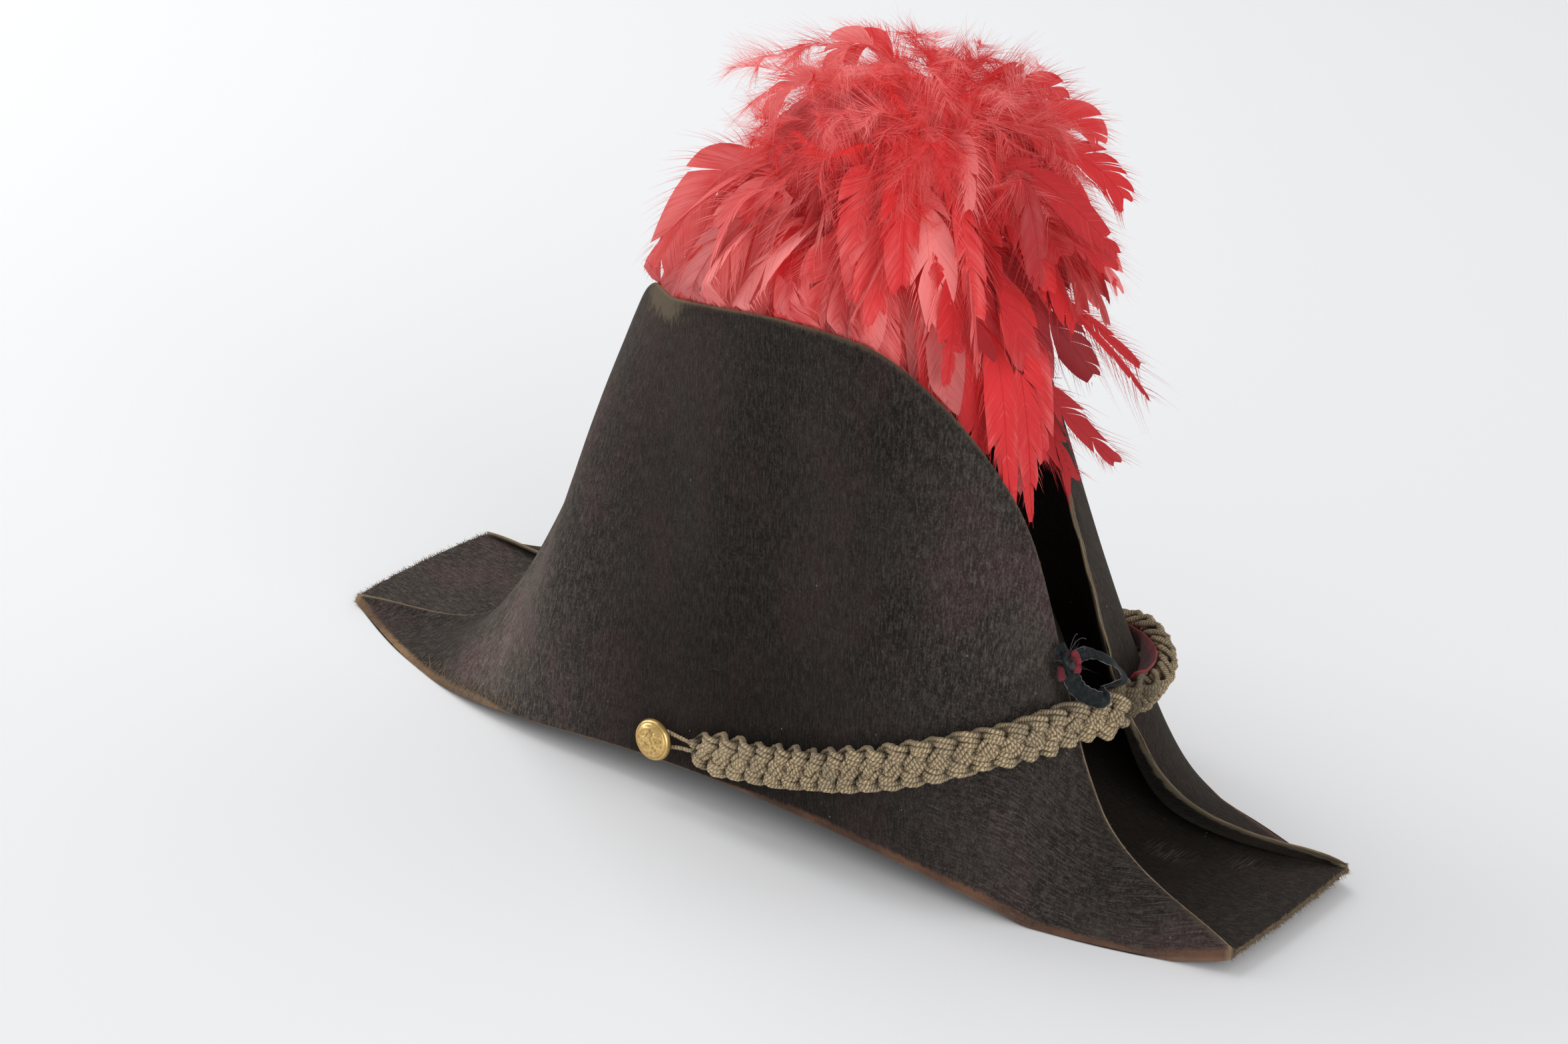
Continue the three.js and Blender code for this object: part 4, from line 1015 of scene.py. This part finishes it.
plumeStrays = [  # loose feathers: four points of the quill, width, firmness, looseness, tone
    ([(55, 8, 208), (80, 20, 200), (97, 30, 180), (113, 38, 157)], 25, 0.14, -0.12, 0.05),
    ([(52, 12, 200), (76, 24, 196), (93, 34, 182), (104, 44, 166)], 20, 0.30, 0.1, 0.05),
    ([(58, 4, 182), (78, 12, 166), (92, 21, 150), (105, 30, 134)], 20, 0.62, 0.2, 0.1),
    ([(60, 6, 176), (76, 12, 158), (88, 17, 146), (97, 23, 131)], 21, 0.80, 0.25, 0.0),
    ([(20, 11, 250), (11, 15, 271), (0, 11, 281), (-1, -2, 258)], 18, 0.60, 0.45, 0.6),
    ([(23, 12, 250), (15, 16, 267), (6, 14, 278), (3, 6, 262)], 18, 0.60, 0.45, 0.45),
    ([(14, 4, 248), (-3, -2, 264), (-11, -10, 263), (-13, -20, 246)], 18, 0.60, 0.45, 0.6),
    ([(40, 26, 244), (50, 36, 259), (57, 44, 261), (62, 50, 250)], 16, 0.70, 0.35, 0.1),
    ([(44, 26, 240), (58, 40, 252), (68, 49, 252), (74, 55, 238)], 17, 0.75, 0.30, 0.2),
    ([(48, 26, 234), (64, 40, 242), (78, 50, 236), (86, 55, 220)], 18, 0.80, 0.25, 0.1),
    ([(44, -8, 238), (56, -20, 240), (67, -31, 224), (72, -35, 198)], 23, 0.84, 0.05, 0.78),
    ([(36, -12, 234), (42, -26, 236), (48, -36, 220), (54, -40, 199)], 23, 0.84, 0.05, 0.3),
    ([(-8, -4, 214), (-36, -10, 218), (-54, -17, 200), (-60, -21, 162)], 22, 0.80, 0.10, 0.4),
    ([(-6, -8, 212), (-30, -17, 214), (-46, -24, 196), (-53, -27, 164)], 22, 0.80, 0.10, 0.6),
]
plumeGroups = rowsOf(  # more at the rear, on the near side and at the right, within these ranges; their lightness is painted light, lighter at the rear and darker at the right as seen
    ("feathers", "width", "litTone", "bearing", "reach", "root", "crest", "tip"),
    (28, 24, 0.12, (184, 240), (62, 85), (210, 234), (214, 236), (158, 184)),
    (28, 23, 0.12, (216, 304), (50, 64), (206, 222), (211, 224), (174, 190)),
    (18, 24, -0.30, (12, 56), (72, 92), (212, 230), (222, 240), (184, 214)))
vane = {"stations": 26, "across": 4, "fringe": 54, "spine": 17, "quill": 0.34, "leanOut": 1.2, "leanTip": 0.8,
        "darkChance": 0.24, "fall": (0.80, 0.1, -0.40), "group": (0.76, 0.09)}  # firmness, looseness, and the painted shade given to each feather
down = {"plumes": 168, "barbs": 150, "barb": 13, "thick": 0.075, "quill": 22, "arch": 7,
        "crest": (-17.0, -3.0, 7.0), "crestEach": 6}
featherKeys = ("tone", "fade", "along", "lane", "barb", "dim")


def featherMaterial():
    # painted light: the feathers glow faintly in their own colour, standing in for light shining through the
    # vanes
    paint = Paint("feather", {"Specular IOR Level": 0.30, "Sheen Weight": 0.15, "Sheen Roughness": 0.35,
                              "Sheen Tint": (1.0, 0.62, 0.60, 1.0), "Emission Strength": 0.12})
    tone, fade, along, dim = paint.values("tone", "fade", "along", "dim")
    place = paint.place("lane", "fade", "barb")
    lines = paint.grain(paint.scaled(place, (1.9, 0.9, 60.0)), 1.0, 4.0, 0.7)
    bunch = paint.grain(paint.scaled(place, (0.28, 0.7, 50.0)), 1.0, 2.0, 0.5)
    mottle = paint.grain(paint.scaled(place, (0.05, 1.2, 90.0)), 1.0, 2.0, 0.5)
    pale = tone + fade * 0.20 + along * 0.14
    pale = pale + (mottle - 0.5) * 0.9 + (bunch - 0.5) * 0.35 + (lines - 0.5) * 0.40
    colour = paint.coats(
        paint.mix(paint.fade(pale, 0.24, 1.10), (0.70, 0.024, 0.028), (0.93, 0.262, 0.250)),
        (paint.fade(lines, 0.50, 0.32) * 0.42, (0.40, 0.016, 0.020)),
        (paint.fade(lines, 0.58, 0.72) * 0.30, (0.95, 0.42, 0.40)),
        # deeper red towards the quill root; on the down in the middle of the plume the same red is painted
        # glow of light shining through
        (paint.fade(along, 0.40, 0.05) * 0.55, (0.84, 0.020, 0.016)),
        # painted shade: feathers deep in the plume, on its right as seen and some single ones are painted
        # dark crimson
        (dim, (0.235, 0.012, 0.016)))
    return paint.shade(Base_Color=colour, Emission_Color=colour, Roughness=0.5 + mottle * 0.25,
                       Normal=paint.bump(lines * 0.7 + bunch * 0.5, 0.5, 0.0007))


def spineFrame(path, level):
    along = unit(np.gradient(path, axis=0))
    across = unit(level - along * dot(level, along))
    return along, across, np.cross(along, across)


def pickAt(values, share):
    place = share * (len(values) - 1)
    k = np.minimum(place.astype(int), len(values) - 2)
    w = (place - k)[:, None]
    return values[k] * (1 - w) + values[k + 1] * w


def vanedFeather(heap, path, level, width, tone, rng, core, fluffy, dim=0.0):
    along, across, flat = spineFrame(path, level)
    length = runAlong(path)[-1]
    cup, blunt, mark = rng.uniform(0.02, 0.40), rng.uniform(0.34, 0.62), rng.uniform(0, 1)
    narrowSide = 1 if rng.random() < 0.5 else -1
    narrow = {-narrowSide: 1.0, narrowSide: rng.uniform(0.5, 1.0)}
    ripple, phase = rng.uniform(0, 0.05), rng.uniform(0, 6)
    dim = dim + (rng.uniform(0.15, 0.50) if rng.random() < vane["darkChance"] else 0.0)  # some are painted darker at random, as painted shade

    def firm(t):  # the vane is downy by the root and holds together towards the tip
        return core * (0.30 + 0.70 * ease(t, 0.10, 0.45))

    def spread(t, w, way, lifted=0.0):  # a spot on the vane: t along the quill, w out to the edge
        at, run, side, lift = (pickAt(a, t) for a in (path, along, across, flat))
        half = narrow[way] * width / 2 * np.sin(np.pi * (0.05 + 0.95 * t**1.1))**blunt
        reach = half * w
        lean = reach * (vane["leanOut"] + vane["leanTip"] * t) * (0.65 + 0.35 * w)  # barbs lean to the tip
        raised = (lifted - cup) * reach * w + ripple * reach * np.sin(9 * t + phase + 2 * w)
        return at + side * (way * reach)[:, None] + run * lean[:, None] + lift * raised[:, None], half, run

    for way in (-1, 1):
        cuts = np.sort(np.concatenate([[0.03, 0.99], rng.uniform(0.22, 0.96, rng.integers(3, 8))]))
        for a, b in zip(cuts, cuts[1:]):  # barbs cling together in bunches with splits between them
            middle = (a + b) / 2
            t = np.linspace(a, b, max(3, int((b - a) * vane["stations"]) + 2))
            ragged = 1 - rng.uniform(0.0, 0.38) * (1 - (t - a) / (b - a))**3
            bend, close = rng.normal(0, 0.15), rng.uniform(0.02, 0.30)
            share = np.linspace(0, 1, vane["across"])
            points = np.stack([spread(middle + (t - middle) * (1 - close * w**2),
                                      w * firm(t) * (1 + (ragged - 1) * w), way, bend)[0] for w in share], 1)
            at = np.repeat(t, len(share))
            heap.add(points, gridQuads(*points.shape[:2])[:, ::way].tolist(), tone=tone, dim=dim, barb=mark,
                     fade=np.tile(share * core, len(t)), along=at, lane=at * length)
        count = int(vane["fringe"] * (1 + 1.8 * fluffy))
        t = np.clip(np.linspace(0.03, 0.97, count) + rng.uniform(-0.015, 0.015, count), 0.02, 0.985)
        begin = firm(t) * 0.88
        far = begin + (1.14 - begin) * rng.uniform(0.35, 1.08, count)
        stray = 0.12 + 0.55 * fluffy + 0.38 * (1 - ease(t, 0.08, 0.42))
        stray = rng.normal(0, 1, (count, 3)) * stray[:, None]
        middles, halves = [], []
        for q, thin in ((0.0, 0.20), (0.5, 0.14), (1.0, 0.03)):
            spot, half, run = spread(t, begin + (far - begin) * q, way)
            loose = (half * (far - begin) * q)[:, None]
            middles.append(spot + run * loose * 0.6 * q + stray * loose)
            halves.append(run * thin)
        points, quads = strips(middles, halves)
        at = np.repeat(t, 6)
        fade = np.tile(np.repeat([core * 0.9, (core + 1) / 2, 1.0], 2), count)
        heap.add(points, quads[:, ::way].tolist(), tone=tone, dim=dim, barb=mark, fade=fade,
                 along=at, lane=at * length)
    points, faces = sweep(path + flat * 0.1, vane["quill"] * np.linspace(1.0, 0.25, len(path)), 3, flat)
    heap.add(points, faces, tone=tone + 0.15, fade=0.3, along=0.6, barb=mark, dim=dim)


def downPlume(heap, path, level, tone, glowRed, rng):  # a short quill with long soft curling barbs
    count = down["barbs"]
    along, across, flat = spineFrame(path, level)
    t = np.sort(rng.uniform(0.05, 1.0, count))
    base, run, side, lift = (pickAt(a, t) for a in (path, along, across, flat))
    flow = rng.uniform(0, 6.3)
    turn = (0.6 * np.sin(5 * t + flow) + rng.normal(0, 0.22, count))[:, None]
    way = np.where(rng.random(count) < 0.5, -1, 1)[:, None]
    lean = rng.uniform(0.5, 1.0, count)[:, None]
    heading = unit(side * way * np.cos(turn) + lift * np.sin(turn) + run * lean)
    bend = rng.normal(0, 0.5, 3) + rng.normal(0, 0.2, (count, 3)) + run * 0.7 - np.array([0, 0, 0.6])
    curl = np.cross(heading, run) * rng.normal(0, 0.5) + rng.normal(0, 0.15, (count, 3))
    long = down["barb"] * rng.uniform(0.55, 1.1, count)[:, None] * (1.15 - 0.6 * t[:, None])
    thin = unit(np.cross(heading, rng.normal(0, 1, (count, 3)))) * down["thick"]
    steps = np.array([0.0, 0.35, 0.7, 1.0])
    middles = [base + heading * long * q + bend * long * 0.6 * q**2 + curl * long * 0.8 * q**3 for q in steps]
    points, quads = strips(middles, [thin * (1.15 - q) for q in steps])
    share = np.tile(np.repeat(steps, 2), count)
    heap.add(points, quads.tolist(), tone=tone, fade=share, along=0.45 - 0.40 * glowRed + share * 0.2,
             lane=np.repeat(np.arange(count), 8) * 1.7, barb=rng.uniform(0, 1))


def sideways(angle):  # level, and square to a bearing
    return np.array([-math.sin(angle), math.cos(angle), 0.0])


def lockPath(lock, angle, sway, reachBy, hang, swing, start):  # a quill that rises, bends over and hangs
    def spot(reach, height):
        ahead = lock.get("ahead", 0) + lock["long"] * reach * reachBy * math.cos(angle)
        aside = lock.get("aside", 0) + lock["across"] * reach * reachBy * math.sin(angle)
        return np.array([plume["x"] + ahead, plume["y"] + aside, height])

    share = np.linspace(0, 1, vane["spine"])
    corners = [spot(start, lock["root"]), spot(0.55, lock["crest"] + 6 * sway),
               spot(hang, lock["crest"] - 4 * sway), spot(1 + 0.05 * sway, lock["tip"] + 10 * sway)]
    return bezierAt(corners, share) + sideways(angle) * (swing * share**2)[:, None]


def rolled(angle, roll, twist):  # the vane's sideways direction along a quill, turning a little on the way
    turn = (roll + twist * np.linspace(0, 1, vane["spine"]))[:, None]
    return sideways(angle) * np.cos(turn) + np.array([0, 0, 1.0]) * np.sin(turn)


def featherTone(rng):
    return float(rng.uniform(0.7, 1.0) if rng.random() < 0.2 else np.clip(rng.normal(0.34, 0.2), 0, 1))


def fitPlume(heap, tree):  # keeps feathers under the ceiling and inside the flaps; deep ones get painted shade, as do those on the right as seen
    edge = innerFace[:, -1]
    for points, dim in zip(heap.points, heap.values["dim"]):
        over = np.maximum(points[:, 2] - plume["ceiling"], 0)
        points[:, 2] -= over - plume["ceilingSoft"] * np.tanh(over / plume["ceilingSoft"])
        above = points[:, 2] - np.interp(points[:, 0], edge[:, 0], edge[:, 2])
        room = np.interp(points[:, 0], edge[:, 0], edge[:, 1]) - plume["clear"] + np.maximum(above, 0) * 0.8
        wide = (above > 0) & (np.abs(points[:, 1]) > room)
        points[wide, 1] = np.sign(points[wide, 1]) * room[wide]
        for k in np.nonzero(points[:, 2] < plume["wallTop"])[0]:
            x, y, z = points[k]
            wall = tree.ray_cast(Vector((x, 0, z)), Vector((0, 1, 0)))[3]
            if wall is not None and abs(y) > wall - plume["clear"]:
                points[k, 1] = math.copysign(max(wall - plume["clear"], 0), y)
        # painted shade: feathers are painted darker low in the plume and towards the camera's right
        dim += 0.46 * (1 - ease(points[:, 2], *plume["deep"]))
        dim += 0.20 * ease(points @ viewRight, *plume["right"])


def plumePieces(material):
    rng = np.random.default_rng(plume["seed"])
    vanes, single, fluff = Heap(*featherKeys), Heap(*featherKeys), Heap(*featherKeys)
    share = np.linspace(0, 1, vane["spine"])
    for row, tier in enumerate(plumeTiers):
        for index in range(tier["feathers"]):
            angle = 2 * np.pi * (index + rng.uniform(-0.45, 0.45) + 0.37 * row) / tier["feathers"]
            aside = max(0.0, math.cos(angle - math.radians(45)))  # carried higher over the open left front
            rear = max(0.0, math.cos(angle - math.radians(205)))
            lock = {**tier, "tip": tier["tip"] + tier["lift"] * aside**1.5}
            hang = rng.uniform(0.58, 0.90) - 0.06 * rear
            path = lockPath(lock, angle, rng.uniform(-1, 1), rng.uniform(0.76, 1.05), hang, rng.normal(0, 22),
                            rng.uniform(0.1, 0.34))
            level = rolled(angle, rng.normal(0, 0.55), rng.normal(0, 0.9))
            # painted light and shade: feathers at the rear, on the lit left as seen, are painted lighter,
            # those on the right as seen darker
            tone = featherTone(rng) + 0.40 * rear - 0.26 * aside
            vanedFeather(vanes, path, level, tier["width"] * rng.uniform(0.75, 1.2), tone, rng, tier["core"],
                         tier["fluffy"], tier["dim"])
    for fall in plumeFalls:
        lock = {**fall, "long": fall["reach"], "across": fall["reach"]}
        for twin in range(2):
            angle = math.radians(fall["bearing"] + rng.uniform(-4, 4))
            path = lockPath(lock, angle, 0.4 * twin - 0.4, 1 - 0.05 * twin, 0.86, rng.normal(0, 6), 0.2)
            level = rolled(angle, 0.2, rng.normal(0, 0.5))
            tone = fall["tone"] + 0.15 * twin
            vanedFeather(single, path, level, fall["width"], tone, rng, *vane["fall"])
    level = rolled(math.radians(25), 0.5, 0.6)
    for corners, width, core, fluffy, tone in plumeStrays:
        vanedFeather(single, bezierAt(corners, share), level, width, tone, rng, core, fluffy)
    for group in plumeGroups:
        for _ in range(group["feathers"]):
            pick = {k: rng.uniform(*group[k]) for k in ("bearing", "reach", "root", "crest", "tip")}
            angle = math.radians(pick["bearing"])
            lock = {**pick, "long": pick["reach"], "across": pick["reach"] * 0.88}
            path = lockPath(lock, angle, rng.uniform(-0.5, 0.5), 1.0, rng.uniform(0.62, 0.86),
                            rng.normal(0, 13), rng.uniform(0.15, 0.4))
            level = rolled(angle, rng.normal(0, 0.4), rng.normal(0, 0.5))
            tone = featherTone(rng) + group["litTone"]
            vanedFeather(single, path, level, group["width"], tone, rng, *vane["group"])
    middle = np.array([plume["x"] + 14, plume["y"] + 10, plume["headHeight"] + 2.0])
    shape = np.array([plume["headLong"] - 1, plume["headAcross"] + 5, plume["headTall"] - 1])
    along = share[:, None]
    for index in range(down["plumes"]):
        bearing, rise = rng.uniform(0, 2 * np.pi), math.asin(rng.uniform(0.25, 1.0))
        level = np.array([math.cos(bearing), math.sin(bearing), 0.0])
        out = level * math.cos(rise) + np.array([0, 0, math.sin(rise)])
        heading = unit(level - np.array([0, 0, 0.5]) + rng.normal(0, 0.6, 3))
        # painted light: down in the middle of the plume, towards the camera, is painted deeper red as light
        # shining through
        glowRed = float(rng.random() < 0.75 * math.exp(-((out[0] - 0.05)**2 + (out[1] + 0.35)**2) / 0.12))
        base = middle + shape * out * rng.uniform(0.88, 1.02)
        if index % down["crestEach"] == 0:  # some of it fills under the top curls
            base = base + down["crest"]
        arch = down["arch"] * np.sin(np.pi * along) * rng.uniform(0.2, 1.0)
        path = base + heading * down["quill"] * along + out * arch
        tone = float(np.clip(rng.normal(0.42, 0.2), 0, 1))
        downPlume(fluff, path, np.broadcast_to(np.cross(out, heading), path.shape), tone, glowRed, rng)
    tree = BVHTree.FromPolygons(innerFace.reshape(-1, 3).tolist(), gridQuads(*innerFace.shape[:2]).tolist())
    for heap in (vanes, single, fluff):
        fitPlume(heap, tree)
    vanes.piece("plumeFeathers", material, "feathers", "plume")
    single.piece("plumeLoose", material, "feathers")
    fluff.piece("plumeDown", material, "feathers")


heart = {"around": 60, "rises": 30, "back": -12, "height": 188.0, "size": (50.0, 34.0, 34.0)}


def plumeCore(material):  # two dark lumps, painted shade that closes the plume's inside to the eye
    count, rows = heart["around"], heart["rises"] - 1
    turn = turns(count)
    lift = (np.pi * (np.arange(1, rows + 1) / heart["rises"] - 0.5))[:, None]
    ball = np.stack([np.cos(lift) * np.cos(turn), np.cos(lift) * np.sin(turn), np.sin(lift) + 0 * turn], -1)
    ball = np.vstack([ball.reshape(-1, 3), [[0, 0, -1], [0, 0, 1]]])
    foot = rows * count
    faces = gridQuads(rows, count, True).tolist()
    faces += fan(0, count, foot, -1) + fan(foot - count, count, foot + 1)
    head = (plume["x"], plume["y"], plume["headHeight"])
    headSize = (plume["headLong"], plume["headAcross"], plume["headTall"])
    low = (plume["x"] + heart["back"], plume["y"], heart["height"])
    heap = Heap(*featherKeys)
    for middle, size in ((head, headSize), (low, heart["size"])):
        points = ball * (0.90 + 0.05 * lumps(ball, 0.2, 2.2))[:, None] * size + middle
        heap.add(points, faces, tone=0.1, fade=0.3, along=0.5, lane=0.5, dim=0.6)
    heap.piece("plumeShadeHeart", material, "feathers")


stem = {"radius": 3.0, "foot": 6.5, "footThick": 1.6, "seat": 116.6, "gap": 0.35, "sides": 24, "steps": 140,
        "thread": 1.3, "bound": 0.15}


def stemMaterial():
    paint = Paint("boundWire", {"Specular IOR Level": 0.3})
    thread = paint.grain(paint.scaled(paint.object(), (1.0, 1.0, 6.0)), 700.0, 3.0, 0.6)
    colour = paint.mix(paint.fade(thread, 0.3, 0.7), (0.030, 0.018, 0.016), (0.085, 0.055, 0.045))
    return paint.shade(Base_Color=colour, Roughness=0.8, Normal=paint.bump(thread, 0.5, 0.0003))


def stemPiece(material):
    low = stem["seat"] + stem["gap"]
    top = plume["headHeight"] - plume["headTall"] - stem["gap"]
    foot, thick = stem["foot"], stem["footThick"]
    angle = turns(stem["sides"])
    rings = [(foot - 0.5, 0.0), (foot, 0.5), (foot, thick - 0.4), (foot - 0.8, thick)]
    for height in np.linspace(thick + 0.6, top - low, stem["steps"]):  # thread wound round the post
        thread = stem["bound"] * np.cos(angle - 2 * np.pi * height / stem["thread"])
        rings.append((stem["radius"] - stem["bound"] + thread, height))
    points = np.array([np.stack([radius * np.cos(angle) + plume["x"], radius * np.sin(angle) + plume["y"],
                                 low + height + 0 * angle], -1) for radius, height in rings])
    heap = Heap()
    heap.add(points, cappedTube(len(rings), stem["sides"]))
    heap.piece("plumeStem", material, "wire", "plume_stem")


featherPaint = featherMaterial()
plumePieces(featherPaint)
plumeCore(featherPaint)
stemPiece(stemMaterial())
print("plume done")


# floor, light and camera

studio = {  # the floor, the lights and their aim are in metres, the camera's eye in millimetres
    "floor": 6.0, "floorDrop": 0.0003, "floorSides": 64, "world": 0.45, "sky": (0.97, 0.985, 1.0, 1.0),
    "aim": (0, 0, 0.08), "lights": [  # name, place, size, power
        ("overhead", (-1.5, 0.45, 2.5), 2.0, 30.0), ("leftPanel", (-1.8, -0.4, 0.9), 1.3, 14.0),
        ("frontPanel", (1.75, -0.85, 0.75), 1.5, 18.0), ("rearPanel", (1.3, 1.7, 1.9), 1.6, 7.0)],
    "eye": (750.53, -944.71, 676.55), "back": (0.567599, -0.696976, 0.438241), "roll": 0.822, "lens": 84.648,
    "sensor": 36.0, "clip": (0.02, 50.0),
}


def placed(name, data):
    made = bpy.data.objects.new(name, data)
    bpy.context.scene.collection.objects.link(made)
    return made


def studioSet():
    mesh = bpy.data.meshes.new("floor")
    ring = [(studio["floor"] * math.cos(a), studio["floor"] * math.sin(a), -studio["floorDrop"])
            for a in turns(studio["floorSides"])]
    mesh.from_pydata(ring, [], [list(range(len(ring)))])
    floor = placed("floor", mesh)
    paint = Paint("floorPaper", {"Specular IOR Level": 0.1})
    paper = paint.mix(paint.grain(paint.object(), 1.5, 2.0), (0.86, 0.865, 0.875), (0.875, 0.88, 0.89))
    floor.data.materials.append(paint.shade(Base_Color=paper, Roughness=0.95))
    world = bpy.data.worlds.new("softRoom")
    bpy.context.scene.world = world
    world.use_nodes = True
    sky = world.node_tree.nodes["Background"]
    sky.inputs["Color"].default_value = studio["sky"]
    sky.inputs["Strength"].default_value = studio["world"]
    for name, spot, size, power in studio["lights"]:
        light = bpy.data.lights.new(name, "AREA")
        light.energy, light.size = power, size
        lamp = placed(name, light)
        lamp.location = spot
        lamp.rotation_euler = (Vector(studio["aim"]) - Vector(spot)).to_track_quat("-Z", "Y").to_euler()
    back = Vector(studio["back"]).normalized()
    right = Vector((0, 0, 1)).cross(back).normalized()
    up = back.cross(right)
    roll = math.radians(studio["roll"])
    right, up = right * math.cos(roll) + up * math.sin(roll), up * math.cos(roll) - right * math.sin(roll)
    data = bpy.data.cameras.new("photoView")
    data.lens, data.sensor_width, data.sensor_fit = studio["lens"], studio["sensor"], "HORIZONTAL"
    data.clip_start, data.clip_end = studio["clip"]
    camera = placed("photoView", data)
    turn = Matrix((right, up, back)).transposed().to_4x4()
    camera.matrix_world = Matrix.Translation(Vector(studio["eye"]) * mm) @ turn
    bpy.context.scene.camera = camera
    bpy.context.scene.view_settings.view_transform = "Standard"


studioSet()
print("studio done")
